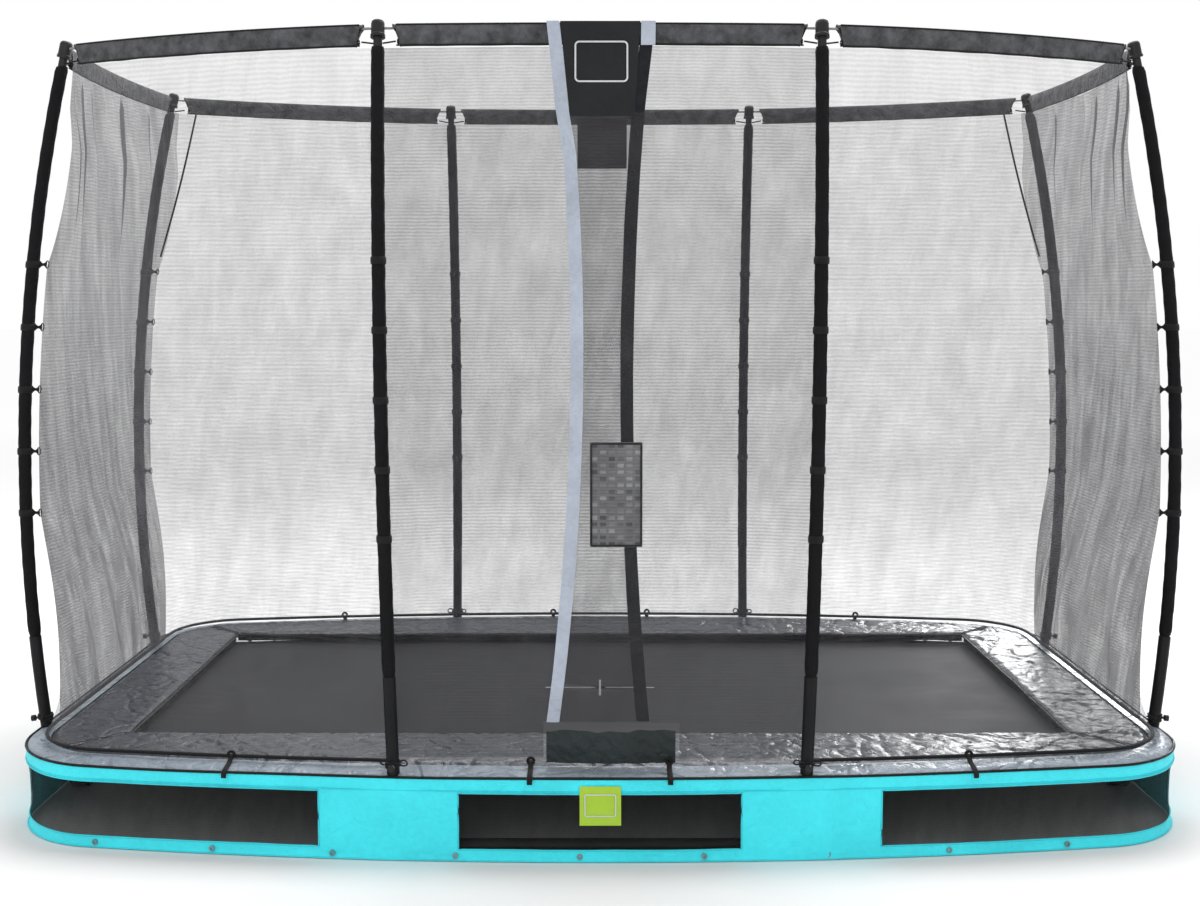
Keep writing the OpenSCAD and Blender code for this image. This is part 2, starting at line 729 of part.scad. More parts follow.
module window_runs(grow, inset, t, trim) {
  z0 = window_z[0] - grow;
  z1 = window_z[1] + grow;
  da = grow / long_r * 180 / PI;
  long_sweep(0, -window_a0 - da, window_a0 + da, trim) band_profile(z0, z1, inset, t);
  both_x() {
    long_sweep(0, window_a1 - da, blend_a, trim) band_profile(z0, z1, inset, t);
    corner_sweep(0, blend_a, window_end + grow * 0.17, trim) band_profile(z0, z1, inset, t);
  }
}

module end_window(grow, inset, t) {
  end_sweep(0, -side_window - grow, side_window + grow)
    band_profile(window_z[0] - grow, window_z[1] + grow, inset, t);
}

eyelet_z = 18;
eyelet_r = 9;
eyelet_bore = 4;
eyelet_shift = -60;

// Eyelets sit in the hem all round, spaced along the long sides and the ends.
module at_eyelets_long() {
  for (i = [-4 : 4])
    translate([0, long_cy, eyelet_z])
      rotate([0, 0, asin((eyelet_shift + i * eyelet_pitch) / long_r) - 90])
        translate([long_r, 0, 0])
          rotate([0, 90, 0]) children();
}

module at_eyelets_end() {
  for (i = [-1 : 1])
    translate([outline_l / 2, i * eyelet_pitch, eyelet_z])
      rotate([0, 90, 0]) children();
}

module eyelet_hole() translate([0, 0, -20]) cylinder(h = 40, r = eyelet_r + 0.3, $fn = fine);

module skirt_long() color([0.28, 0.87, 0.92])
  difference() {
    union() {
      long_sweep(0, -blend_a, blend_a, hair) band_profile(0, skirt_top, 0, skirt_t);
      both_x() corner_sweep(0, blend_a, 90, hair) band_profile(0, skirt_top, 0, skirt_t);
    }
    window_runs(0, -5, skirt_t + 10, 0);
    at_eyelets_long() eyelet_hole();
  }

module skirt_front() skirt_long();
module skirt_back() mirror([0, 1, 0]) skirt_long();
module skirt_ends() color([0.28, 0.87, 0.92])
  both_x()
    difference() {
      end_sweep(0, -corner_y + eps, corner_y - eps) band_profile(0, skirt_top, 0, skirt_t);
      end_window(0, -5, skirt_t + 10);
      at_eyelets_end() eyelet_hole();
    }

module skirt_windows() color([0.08, 0.08, 0.08]) {
  both_y() window_runs(-0.4, 0.5, 1, hair);
  both_x() end_window(-0.4, 0.5, 1);
}

module eyelet() {
  translate([0, 0, -3])
    difference() {
      cylinder(h = 4, r = eyelet_r, $fn = fine);
      translate([0, 0, -1]) cylinder(h = 6, r = eyelet_bore, $fn = fine);
    }
}

module hem_eyelets() color("silver") {
  both_y() at_eyelets_long() eyelet();
  both_x() at_eyelets_end() eyelet();
}

module skirt_tag() color([0.66, 0.8, 0.24])
  plate([[-60, 114], [62, 114], [62, 232], [-60, 232]], -outline_w / 2 - 2.5, 2);

// ---------- Mat and springs ----------
mat_t = 3;
webbing_w = 40;
ring_r = 9;
wire_r = 2;

module mat() color([0.16, 0.16, 0.17])
  translate([0, 0, mat_z - mat_t])
    linear_extrude(height = mat_t) polygon(outline_pts(mat_inset));

module mat_webbing() color([0.05, 0.05, 0.05])
  translate([0, 0, mat_z - mat_t - 3.1])
    linear_extrude(height = 3)
      difference() {
        polygon(outline_pts(mat_inset));
        polygon(outline_pts(mat_inset + webbing_w));
      }

// Runs its child at each spring, with +X outward and the origin on the outline.
module at_springs() {
  both_y()
    for (i = [0 : long_springs - 1])
      let(a = lerp(-blend_a, blend_a, (i + 0.5) / long_springs))
        translate([0, long_cy, 0]) rotate([0, 0, a - 90]) translate([long_r, 0, 0]) children();
  both_x()
    for (i = [0 : end_springs - 1])
      translate([outline_l / 2, lerp(-corner_y, corner_y, (i + 0.5) / end_springs), 0]) children();
  both_x() both_y()
    for (i = [0 : corner_springs - 1])
      let(a = lerp(blend_a, 90, (i + 0.5) / corner_springs))
        translate([corner_x, -corner_y, 0]) rotate([0, 0, a - 90]) translate([corner_r, 0, 0]) children();
}

spring_z = mat_z - 2;
spring_r = 11.5;
coil_in = mat_inset - 35;
coil_out = rail_inset + rail_r + 24;

module mat_rings() color("silver")
  at_springs()
    translate([-mat_inset + ring_r + 1.5, 0, mat_z - mat_t - 1.6])
      rotate_extrude($fn = fine)
        translate([ring_r, 0]) circle(r = wire_r - 0.6, $fn = 24);

module springs() color("silver")
  at_springs()
    translate([0, 0, spring_z]) rotate([0, -90, 0]) {
      translate([0, 0, coil_out])
        difference() {
          cylinder(h = coil_in - coil_out, r = spring_r, $fn = fine);
          translate([0, 0, 4]) cylinder(h = coil_in - coil_out - 8, r = spring_r - 3, $fn = fine);
        }
      translate([0, 0, rail_inset + rail_r + 1]) cylinder(h = 23, r = wire_r, $fn = fine);
      translate([0, 0, coil_in]) cylinder(h = 11.5, r = wire_r, $fn = fine);
    }

top_rail_front();
top_rail_back();
top_rail_sides();
top_rail_corners();
leg_front();
leg_back();
legs_side();
pole_sockets();
socket_bolts();
base_knobs();
pole_front_left();
pole_front_right();
pole_right_front();
pole_right_back();
pole_back_right();
pole_back_left();
pole_left_back();
pole_left_front();
pole_sleeves();
pole_caps();
pole_ties();
ring_rods();
ring_sleeves();
ring_cords();
net_front_left();
net_front_right();
net_right();
net_back_right();
net_back();
net_back_left();
net_left();
door_panel_left();
door_panel_right();
door_flap_left();
door_flap_right();
band_light();
band_dark();
band_tops();
label_panel();
net_patch();
door_card();
door_threshold();
net_ties();
pad_front();
pad_back();
pad_left();
pad_right();
pad_edge_strips();
pad_piping();
skirt_front();
skirt_back();
skirt_ends();
skirt_windows();
hem_eyelets();
skirt_tag();
mat();
mat_webbing();
mat_rings();
springs();
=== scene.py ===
import math

import bpy
import numpy as np
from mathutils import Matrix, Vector, noise


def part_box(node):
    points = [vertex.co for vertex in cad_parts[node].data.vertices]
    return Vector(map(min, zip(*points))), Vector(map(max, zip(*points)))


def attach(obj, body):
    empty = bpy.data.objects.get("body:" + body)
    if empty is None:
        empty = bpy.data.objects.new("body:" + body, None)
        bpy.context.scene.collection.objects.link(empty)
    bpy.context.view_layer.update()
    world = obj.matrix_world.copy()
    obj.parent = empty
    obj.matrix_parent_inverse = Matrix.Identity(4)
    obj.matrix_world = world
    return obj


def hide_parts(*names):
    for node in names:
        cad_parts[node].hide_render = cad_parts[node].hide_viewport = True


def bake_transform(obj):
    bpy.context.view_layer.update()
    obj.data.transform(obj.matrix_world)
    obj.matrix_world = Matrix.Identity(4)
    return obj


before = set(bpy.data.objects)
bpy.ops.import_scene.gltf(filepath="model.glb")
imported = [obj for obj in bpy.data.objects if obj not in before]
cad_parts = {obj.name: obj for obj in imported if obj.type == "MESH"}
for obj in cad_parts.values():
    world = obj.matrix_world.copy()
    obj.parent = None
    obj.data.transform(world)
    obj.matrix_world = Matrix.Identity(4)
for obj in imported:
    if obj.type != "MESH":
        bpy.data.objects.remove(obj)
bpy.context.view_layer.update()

scene = bpy.context.scene
scene.view_settings.view_transform = "Standard"

# ---------- Camera ----------
camera = bpy.data.objects.new("camera", bpy.data.cameras.new("camera"))
scene.collection.objects.link(camera)
camera.data.sensor_width = 36
camera.data.lens = 44
camera.data.shift_y = -0.0348
camera.data.clip_end = 200
camera.location = (0, -5.326, 1.654)
camera.rotation_euler = (math.pi / 2 - 0.075, 0, 0)
scene.camera = camera

# ---------- The object's own dimensions, in metres, as the CAD source has them ----------
OUTLINE_L, OUTLINE_W, LONG_R, CORNER_R = 3.680, 2.220, 9.800, 0.330
SIDE_POLE_Y, FRONT_POLE_X, SIDE_APEX, FRONT_APEX = 0.590, 0.630, 1.868, 1.120
FRONT_LEAN, LEAN_Z = 0.018, 1.250
BOW_R, BOW_Z = 6.100, 1.025
RING_Z = 2.452
NET_INSET, TIE_Z, TIE_PITCH, TIE_COUNT = 0.062, 0.967, 0.201, 5
TOP_TIE = TIE_Z + TIE_PITCH * (TIE_COUNT - 1)
DOOR_TOP, THRESHOLD_TOP, BAND_W = 2.140, 0.385, 0.038
PAD_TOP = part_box("pad_front")[1].z
OPEN_X, OPEN_Y = 1.510, 0.700
MAT_INSET = 0.285
MAT_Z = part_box("mat")[1].z
SKIRT_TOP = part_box("skirt_front")[1].z
WINDOW_Z = (0.036, 0.207)
WINDOW_HALF, WINDOW_START, WINDOW_END_DEG, SIDE_WINDOW = 0.420, 0.835, 84, 0.360
JOINT_Z = 0.560
SLEEVE_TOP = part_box("pole_sleeves")[1].z
SLEEVE_R = 0.0205
OUTER_Y, INNER_Y = -1.016, -1.004
FLAP_FOOT = (0.600, 0.296)

BLEND_A = math.asin((OUTLINE_L / 2 - CORNER_R) / (LONG_R - CORNER_R))
LONG_CY = LONG_R - OUTLINE_W / 2
CORNER_X = OUTLINE_L / 2 - CORNER_R
CORNER_Y = (LONG_R - CORNER_R) * math.cos(BLEND_A) - LONG_CY
NET_FOOT = PAD_TOP + 0.005
NET_HEAD = RING_Z + 0.011 - 0.064

# Turn about Z in degrees, furthest reach, sideways offset, sideways lean.
POLES = [
    (-90, FRONT_APEX, -FRONT_POLE_X, -FRONT_LEAN), (-90, FRONT_APEX, FRONT_POLE_X, FRONT_LEAN),
    (0, SIDE_APEX, -SIDE_POLE_Y, 0), (0, SIDE_APEX, SIDE_POLE_Y, 0),
    (90, FRONT_APEX, -FRONT_POLE_X, 0), (90, FRONT_APEX, FRONT_POLE_X, 0),
    (180, SIDE_APEX, -SIDE_POLE_Y, 0), (180, SIDE_APEX, SIDE_POLE_Y, 0),
]
RING_SAG = [0.022, 0.048, 0.035, 0.048, 0.022, 0.048, 0.035, 0.048]


def clamp(t):
    return max(0.0, min(1.0, t))


def smooth(t):
    t = clamp(t)
    return t * t * (3 - 2 * t)


def lerp(a, b, t):
    return a + (b - a) * t


def mix(p, q, t):
    return tuple(lerp(a, b, t) for a, b in zip(p, q))


def circle(count):
    """Angles evenly round a circle."""
    return [2 * math.pi * k / count for k in range(count)]


def inward(p, d, inset, z):
    """A point moved in from p against the outward direction d."""
    return (p[0] - d[0] * inset, p[1] - d[1] * inset, z)


def mirror(places, sx, sy):
    """Points with outward directions, turned over in X or Y by a sign of -1."""
    return [((sx * p[0], sy * p[1]), (sx * d[0], sy * d[1])) for p, d in places]


def drop(z):
    return BOW_R - math.sqrt(BOW_R ** 2 - (z - BOW_Z) ** 2)


def pole_point(i, z, out=0.0, side=0.0):
    """A point near pole i at height z, moved outward and sideways in the pole's own frame."""
    turn, reach, offset, lean = POLES[i]
    a = math.radians(turn)
    x, y = reach - drop(z) + out, offset + lean * (z - LEAN_Z) + side
    return (x * math.cos(a) - y * math.sin(a), x * math.sin(a) + y * math.cos(a), z)


def long_pt(inset, a):
    r = LONG_R - inset
    return (r * math.sin(a), LONG_CY - r * math.cos(a))


def corner_pt(inset, a):
    r = CORNER_R - inset
    return (CORNER_X + r * math.sin(a), -CORNER_Y - r * math.cos(a))


def front_x(z, lean=FRONT_LEAN):
    """How far a pole on a long side stands from the middle at height z."""
    return FRONT_POLE_X + lean * (z - LEAN_Z)


def edge_pt(inset, t, x0):
    """The outline from x0 on the front long side round the corner to the next pole."""
    a0 = math.asin(x0 / (LONG_R - inset))
    l1 = (LONG_R - inset) * (BLEND_A - a0)
    l2 = (CORNER_R - inset) * (math.pi / 2 - BLEND_A)
    s = t * (l1 + l2 + CORNER_Y - SIDE_POLE_Y)
    if s < l1:
        return long_pt(inset, a0 + (BLEND_A - a0) * s / l1)
    if s < l1 + l2:
        return corner_pt(inset, BLEND_A + (math.pi / 2 - BLEND_A) * (s - l1) / l2)
    return (OUTLINE_L / 2 - inset, -CORNER_Y + s - l1 - l2)


# ---------- Mesh helpers ----------
def new_object(name, verts, faces, material, uvs=None, body="root"):
    mesh = bpy.data.meshes.new(name)
    mesh.from_pydata([tuple(v) for v in verts], [], faces)
    if uvs is not None:
        layer = mesh.uv_layers.new(name="UVMap")
        loop_vertex = np.empty(len(mesh.loops), np.int32)
        mesh.loops.foreach_get("vertex_index", loop_vertex)
        layer.data.foreach_set("uv", np.asarray(uvs, np.float32)[loop_vertex].ravel())
    mesh.polygons.foreach_set("use_smooth", [True] * len(mesh.polygons))
    mesh.update()
    obj = bpy.data.objects.new(name, mesh)
    scene.collection.objects.link(obj)
    obj.data.materials.append(material)
    if body:
        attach(obj, body)
    return obj


class Build:
    """Gathers grids, tubes and shells into one mesh."""

    def __init__(self):
        self.verts, self.faces, self.uvs = [], [], []

    def grid(self, points, uvs=None, skip=None, close=False, flip=False):
        rows, cols = len(points), len(points[0])
        base = len(self.verts)
        for r in range(rows):
            run = 0.0
            for c in range(cols):
                if c:
                    run += math.dist(points[r][c], points[r][c - 1])
                self.verts.append(points[r][c])
                self.uvs.append(uvs[r][c] if uvs else (run, points[r][c][2]))
        for r in range(rows - 1):
            for c in range(cols - 1 + (1 if close else 0)):
                if skip and skip(r, c):
                    continue
                d = (c + 1) % cols
                f = (base + r * cols + c, base + r * cols + d,
                     base + (r + 1) * cols + d, base + (r + 1) * cols + c)
                self.faces.append(f[::-1] if flip else f)
        return self

    def tube(self, path, radius, sides=8, closed=False, flat=1.0, up=(0, 0, 1), caps=True):
        """A tube along path. flat squeezes it across the up direction, as a strap."""
        n = len(path)
        pts = [Vector(p) for p in path]
        rings = []
        run = 0.0
        base = len(self.verts)
        for i, p in enumerate(pts):
            a = pts[(i - 1) % n] if closed or i > 0 else p
            b = pts[(i + 1) % n] if closed or i < n - 1 else p
            t = (b - a).normalized()
            side = t.cross(Vector(up))
            side = side.normalized() if side.length > 1e-4 else t.orthogonal().normalized()
            top = side.cross(t)
            r = radius(i / max(n - 1, 1)) if callable(radius) else radius
            if i:
                run += (p - pts[i - 1]).length
            for k in range(sides):
                w = 2 * math.pi * k / sides
                v = p + side * (r * math.cos(w) * flat) + top * (r * math.sin(w))
                self.verts.append(tuple(v))
                self.uvs.append((run, w * r))
            rings.append(base + i * sides)
        for i in range(n if closed else n - 1):
            a, b = rings[i], rings[(i + 1) % n]
            for k in range(sides):
                j = (k + 1) % sides
                self.faces.append((a + k, b + k, b + j, a + j))
        if caps and not closed:
            self.faces.append(tuple(rings[0] + k for k in range(sides)))
            self.faces.append(tuple(rings[-1] + k for k in reversed(range(sides))))
        return self

    def make(self, name, material, body="root", slot=None):
        return new_object(name, self.verts, self.faces, material, self.uvs, body)


# ---------- Materials ----------
class Nodes:
    """A material with a Principled shader, and short ways to add nodes to it."""

    def __init__(self, name, rough=0.6, metal=0.0, spec=0.5, sheen=0.0, coat=0.0):
        self.mat = bpy.data.materials.new(name)
        self.mat.use_nodes = True
        self.tree = self.mat.node_tree
        self.bsdf = self.tree.nodes["Principled BSDF"]
        self.bsdf.inputs["Roughness"].default_value = rough
        self.bsdf.inputs["Metallic"].default_value = metal
        self.bsdf.inputs["Specular IOR Level"].default_value = spec
        self.bsdf.inputs["Sheen Weight"].default_value = sheen
        self.bsdf.inputs["Coat Weight"].default_value = coat

    def add(self, kind, **settings):
        node = self.tree.nodes.new(kind)
        for key, value in settings.items():
            if key in node.inputs:
                node.inputs[key].default_value = value
            else:
                setattr(node, key, value)
        return node

    def link(self, a, b):
        self.tree.links.new(a, b)

    def coords(self, uv=False, scale=(1, 1, 1), turn=(0, 0, 0)):
        tc = self.add("ShaderNodeTexCoord")
        mapping = self.add("ShaderNodeMapping", vector_type="TEXTURE" if any(turn) else "POINT")
        mapping.inputs["Rotation"].default_value = turn
        mapping.inputs["Scale"].default_value = scale
        self.link(tc.outputs["UV" if uv else "Object"], mapping.inputs["Vector"])
        return mapping.outputs["Vector"]

    def noise(self, vector, scale, detail=4.0, rough=0.55, distortion=0.0):
        n = self.add("ShaderNodeTexNoise")
        n.inputs["Scale"].default_value = scale
        n.inputs["Detail"].default_value = detail
        n.inputs["Roughness"].default_value = rough
        n.inputs["Distortion"].default_value = distortion
        self.link(vector, n.inputs["Vector"])
        return n.outputs["Fac"]

    def wave(self, vector, pitch, axis="X", distortion=0.0):
        w = self.add("ShaderNodeTexWave", wave_type="BANDS", bands_direction=axis)
        w.inputs["Scale"].default_value = math.pi / 10 / pitch
        w.inputs["Distortion"].default_value = distortion
        w.inputs["Detail"].default_value = 2.0
        self.link(vector, w.inputs["Vector"])
        return w.outputs["Fac"]

    def creases(self, vector, scale, width):
        """Thin wandering lines, 0 along each crease and 1 between them."""
        n = self.noise(vector, scale, 2.0, 0.5, 0.8)
        return self.remap(self.math("ABSOLUTE", self.math("SUBTRACT", n, 0.5), 0.0), 0.0, 1.0, 0.0, width)

    def math(self, op, a, b, clamp_it=False):
        m = self.add("ShaderNodeMath", operation=op, use_clamp=clamp_it)
        for i, v in enumerate((a, b)):
            if isinstance(v, (int, float)):
                m.inputs[i].default_value = v
            else:
                self.link(v, m.inputs[i])
        return m.outputs[0]

    def ramp(self, fac, stops):
        r = self.add("ShaderNodeValToRGB")
        self.link(fac, r.inputs["Fac"])
        el = r.color_ramp.elements
        while len(el) < len(stops):
            el.new(0.5)
        for e, (pos, col) in zip(el, stops):
            e.position = pos
            e.color = (*col, 1) if len(col) == 3 else col
        return r.outputs["Color"]

    def remap(self, fac, lo, hi, start=0.0, end=1.0):
        r = self.add("ShaderNodeMapRange")
        for key, value in (("From Min", start), ("From Max", end), ("To Min", lo), ("To Max", hi)):
            r.inputs[key].default_value = value
        self.link(fac, r.inputs["Value"])
        return r.outputs["Result"]

    def color(self, socket):
        self.link(socket, self.bsdf.inputs["Base Color"])
        return self

    def roughness(self, socket):
        self.link(socket, self.bsdf.inputs["Roughness"])
        return self

    def bump(self, *layers):
        """Each layer is (height, strength, distance in metres)."""
        normal = None
        for height, strength, distance in layers:
            b = self.add("ShaderNodeBump")
            b.inputs["Strength"].default_value = strength
            b.inputs["Distance"].default_value = distance
            self.link(height, b.inputs["Height"])
            if normal is not None:
                self.link(normal, b.inputs["Normal"])
            normal = b.outputs["Normal"]
        self.link(normal, self.bsdf.inputs["Normal"])
        return self


def scaled(c, k):
    return tuple(min(1.0, v * k) for v in c)


def metal_paint(name, color, rough=0.42, metal=0.0, grain=180, spec=0.5):
    m = Nodes(name, metal=metal, spec=spec)
    v = m.coords()
    big, fine = m.noise(v, 9, 5), m.noise(v, grain, 3)
    m.color(m.ramp(big, [(0.3, scaled(color, 0.75)), (0.7, scaled(color, 1.35))]))
    m.roughness(m.remap(fine, rough - 0.1, rough + 0.15, 0.3, 0.7))
    return m.bump((fine, 0.25, 0.0004), (big, 0.1, 0.002)).mat


def woven(name, color, pitch=0.0016, rough=0.75, sheen=0.15, spread=0.25, uv=True, wrinkle=0.0,
          spec=0.35, stains=6):
    m = Nodes(name, sheen=sheen, spec=spec)
    v, o = m.coords(uv), m.coords()
    warp, weft = m.wave(v, pitch, "X"), m.wave(v, pitch, "Y")
    weave = m.math("MULTIPLY", warp, weft)
    big, mid = m.noise(o, stains, 5), m.noise(o, 60, 3)
    mixed = m.math("ADD", m.math("MULTIPLY", big, 0.7), m.math("MULTIPLY", mid, 0.3))
    m.color(m.ramp(mixed, [(0.3, scaled(color, 1 - spread)), (0.5, color),
                           (0.7, scaled(color, 1 + spread))]))
    m.roughness(m.remap(mid, rough - 0.1, rough + 0.1, 0.3, 0.7))
    layers = [(weave, 0.5, 0.0005)]
    if wrinkle:
        layers.append((m.noise(o, 16, 6, 0.6, 0.6), wrinkle, 0.02))
        layers.append((m.creases(o, 13, 0.10), wrinkle, 0.004))
    return m.bump(*layers).mat


def vinyl(name, color, rough=0.45, spread=0.2, crease=0.5, spec=0.5, coat=0.08):
    """Coated cloth: a fine leather-like grain, crisp creases and scuffs."""
    m = Nodes(name, spec=spec, coat=coat)
    o = m.coords()
    big = m.noise(o, 5, 6, 0.6, 0.4)
    mid = m.noise(o, 28, 5, 0.6, 1.2)
    grain = m.noise(o, 420, 2)
    mixed = m.math("ADD", m.math("MULTIPLY", big, 0.6), m.math("MULTIPLY", mid, 0.4))
    m.color(m.ramp(mixed, [(0.32, scaled(color, 1 - spread)), (0.5, color),
                           (0.68, scaled(color, 1 + spread))]))
    m.roughness(m.remap(mid, rough - 0.12, rough + 0.16, 0.3, 0.7))
    return m.bump((mid, crease * 0.6, 0.012), (m.creases(o, 4.5, 0.06), crease, 0.010),
                  (m.creases(o, 13, 0.12), crease * 0.8, 0.003), (grain, 0.3, 0.0005)).mat


def net_material(name, color, open_share, line_depth=0.055, pitch=0.0150, low_share=None,
                 fold_shade_streaks=0.05):
    """Knitted mesh: each course of knitting shows as a faint wavy line, more or less open. Slanted denser
    streaks are painted shade of folds.
    """
    m = Nodes(name, rough=0.85, spec=0.2)
    v, o = m.coords(True), m.coords()
    course = m.wave(v, pitch, "Y", 2.4)
    blotch = m.noise(o, 7, 5, 0.6, 0.5)
    thread = m.noise(o, 160, 2)
    solid = 1 - open_share
    # Painted fold shade: slanted streaks that make the net denser, and so darker, in bands.
    sheared = m.coords(scale=(0.06, 0.06, 0.55), turn=(0.30, 0.12, 0))
    fold_shade_streak = m.noise(sheared, 1.0, 4, 0.6, 0.3)
    a = m.math("ADD", m.remap(course, solid - line_depth, solid + line_depth),
               m.remap(blotch, -0.05, 0.05, 0.3, 0.7))
    if low_share:
        split = m.add("ShaderNodeSeparateXYZ")
        m.link(o, split.inputs[0])
        a = m.math("ADD", a, m.remap(split.outputs["Z"], open_share - low_share, 0.0, 0.6, 2.1))
    a = m.math("ADD", a, m.remap(fold_shade_streak, -fold_shade_streaks, fold_shade_streaks, 0.32, 0.68))
    a = m.math("ADD", a, m.remap(thread, -0.025, 0.025, 0.3, 0.7), True)
    m.link(a, m.bsdf.inputs["Alpha"])
    m.color(m.ramp(blotch, [(0.3, scaled(color, 0.8)), (0.7, scaled(color, 1.2))]))
    return m.bump((course, 0.3, 0.001)).mat


M = {
    "frame": metal_paint("frame_paint", (0.03, 0.03, 0.032), 0.45, spec=0.3),
    "pole": metal_paint("pole_paint", (0.006, 0.006, 0.007), 0.40, spec=0.18),
    "eyelet": metal_paint("eyelet_zinc", (0.20, 0.26, 0.28), 0.45, 0.5),
    "zinc": metal_paint("zinc_plate", (0.62, 0.62, 0.63), 0.34, 0.9),
    "spring": metal_paint("spring_zinc", (0.60, 0.60, 0.62), 0.32, 0.95),
    "rod": metal_paint("ring_rod_finish", (0.22, 0.22, 0.23), 0.4, 0.3),
    "plastic": metal_paint("black_moulding", (0.010, 0.010, 0.011), 0.5, 0, 320, 0.3),
    "sleeve": woven("sleeve_cloth", (0.005, 0.005, 0.006), 0.0012, 0.65, 0.0, 0.3, wrinkle=0.25, spec=0.12),
    "strap": woven("black_webbing", (0.006, 0.006, 0.007), 0.0014, 0.7, 0.06, 0.3, spec=0.2),
    "ring": woven("ring_cloth", (0.062, 0.063, 0.069), 0.0016, 0.75, 0.08, 0.80, stains=26, wrinkle=0.6),
    "elastic": woven("elastic_cord", (0.007, 0.007, 0.007), 0.0009, 0.7, 0.06, 0.3, spec=0.2),
    "light_band": woven("light_band_cloth", (0.375, 0.415, 0.490), 0.0016, 0.6, 0.10, 0.20, wrinkle=0.5),
    "dark_band": woven("dark_band_cloth", (0.006, 0.007, 0.010), 0.0016, 0.65, 0.04, 0.9,
                       wrinkle=0.45, spec=0.2, stains=30),
    "label": woven("label_cloth", (0.010, 0.012, 0.013), 0.0014, 0.6, 0.04, 0.3, wrinkle=0.2, spec=0.2),
    "threshold": woven("threshold_cloth", (0.016, 0.024, 0.025), 0.0014, 0.6, 0.06, 0.5,
                       wrinkle=0.7, spec=0.3),
    # Black lining cloth, which also serves as painted shade under the pads' inner edge.
    "lining_and_shade": woven("pad_lining_and_shade", (0.006, 0.006, 0.007), 0.0016, 0.7, 0.0, 0.4, wrinkle=0.4, spec=0.15),
    "print": woven("light_print", (0.55, 0.56, 0.58), 0.0014, 0.6, 0.1, 0.1),
    "patch": woven("patch_cloth", (0.045, 0.045, 0.05), 0.0014, 0.7, 0.2, 0.3),
    "pad": vinyl("pad_cover", (0.020, 0.024, 0.034), 0.34, 0.36, 0.60, 0.5, 0.10),
    "strip": vinyl("strip_cover", (0.175, 0.210, 0.250), 0.33, 0.30, 0.75, 0.5, 0.10),
    "piping": vinyl("piping_cover", (0.004, 0.005, 0.006), 0.45, 0.3, 0.4, 0.2, 0.0),
    "skirt": woven("skirt_cloth", (0.050, 0.740, 0.830), 0.0014, 0.5, 0.04, 0.10, wrinkle=0.3, spec=0.25),
    "trim": woven("skirt_binding", (0.042, 0.620, 0.700), 0.0014, 0.55, 0.04, 0.12, spec=0.25),
    "tag": woven("tag_cloth", (0.35, 0.54, 0.040), 0.0014, 0.5, 0.04, 0.10, spec=0.25),
}


def mat_cloth():
    m = Nodes("mat_weave", sheen=0.03, spec=0.15)
    o = m.coords()
    warp, weft = m.wave(o, 0.0022, "X"), m.wave(o, 0.0022, "Y")
    weave = m.math("MULTIPLY", warp, weft)
    fold_shade_streak = m.noise(m.coords(scale=(1.2, 14, 1)), 6, 5, 0.6)
    cloud = m.noise(o, 2.2, 5, 0.6, 0.3)
    mixed = m.math("ADD", m.math("MULTIPLY", fold_shade_streak, 0.45), m.math("MULTIPLY", cloud, 0.55))
    m.color(m.ramp(mixed, [(0.35, (0.006, 0.006, 0.008)), (0.65, (0.021, 0.022, 0.027))]))
    m.roughness(m.remap(cloud, 0.58, 0.72, 0.3, 0.7))
    return m.bump((weave, 0.03, 0.0004), (fold_shade_streak, 0.15, 0.003)).mat


def card_cloth():
    """A grey printed card: plain blocks of tone, with no lettering."""
    m = Nodes("card_print", rough=0.6)
    v = m.coords(True)
    blocks = m.add("ShaderNodeTexBrick")
    blocks.offset = 0.0
    blocks.inputs["Scale"].default_value = 1.0
    blocks.inputs["Brick Width"].default_value = 0.026
    blocks.inputs["Row Height"].default_value = 0.0195
    blocks.inputs["Mortar Size"].default_value = 0.0042
    blocks.inputs["Color1"].default_value = (0.09, 0.09, 0.094, 1)
    blocks.inputs["Color2"].default_value = (0.62, 0.62, 0.63, 1)
    blocks.inputs["Mortar"].default_value = (0.30, 0.30, 0.306, 1)
    m.link(v, blocks.inputs["Vector"])
    m.color(blocks.outputs["Color"])
    grain = m.noise(m.coords(), 300, 3)
    m.roughness(m.remap(grain, 0.5, 0.7, 0.3, 0.7))
    return m.bump((grain, 0.3, 0.0004)).mat


M["mat"] = mat_cloth()
M["card"] = card_cloth()
NET_FRONT = net_material("net_knit_long", (0.10, 0.10, 0.108), 0.80)
NET_CORNER = net_material("net_knit_corner", (0.10, 0.10, 0.105), 0.77)
# The end nets carry stronger painted fold shade streaks.
NET_SIDE = net_material("net_knit_end", (0.075, 0.075, 0.085), 0.45, 0.05, 0.011,
                        low_share=0.22, fold_shade_streaks=0.11)
NET_DOOR = net_material("net_knit_door", (0.050, 0.050, 0.055), 0.57, 0.06, 0.010)
WINDOW = net_material("window_knit", (0.005, 0.005, 0.005), 0.50, 0.05, 0.006)

# The CAD nodes that stay visible, by material.
KEPT = {
    "frame": ["top_rail_front", "top_rail_back", "top_rail_sides", "top_rail_corners", "leg_front",
              "leg_back", "legs_side", "pole_sockets"],
    "zinc": ["socket_bolts"],
    "plastic": ["base_knobs", "pole_caps"],
    "rod": ["ring_rods"],
    "elastic": ["ring_cords"],
    "eyelet": ["hem_eyelets"],
    "pole": ["pole_" + place for place in (
        "front_left", "front_right", "right_front", "right_back",
        "back_right", "back_left", "left_back", "left_front")],
}
for key, nodes in KEPT.items():
    for node in nodes:
        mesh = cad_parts[node].data
        mesh.materials.clear()
        mesh.materials.append(M[key])


# ---------- The net ----------
TIE_GAP, GAP_TOP = 0.046, 2.150


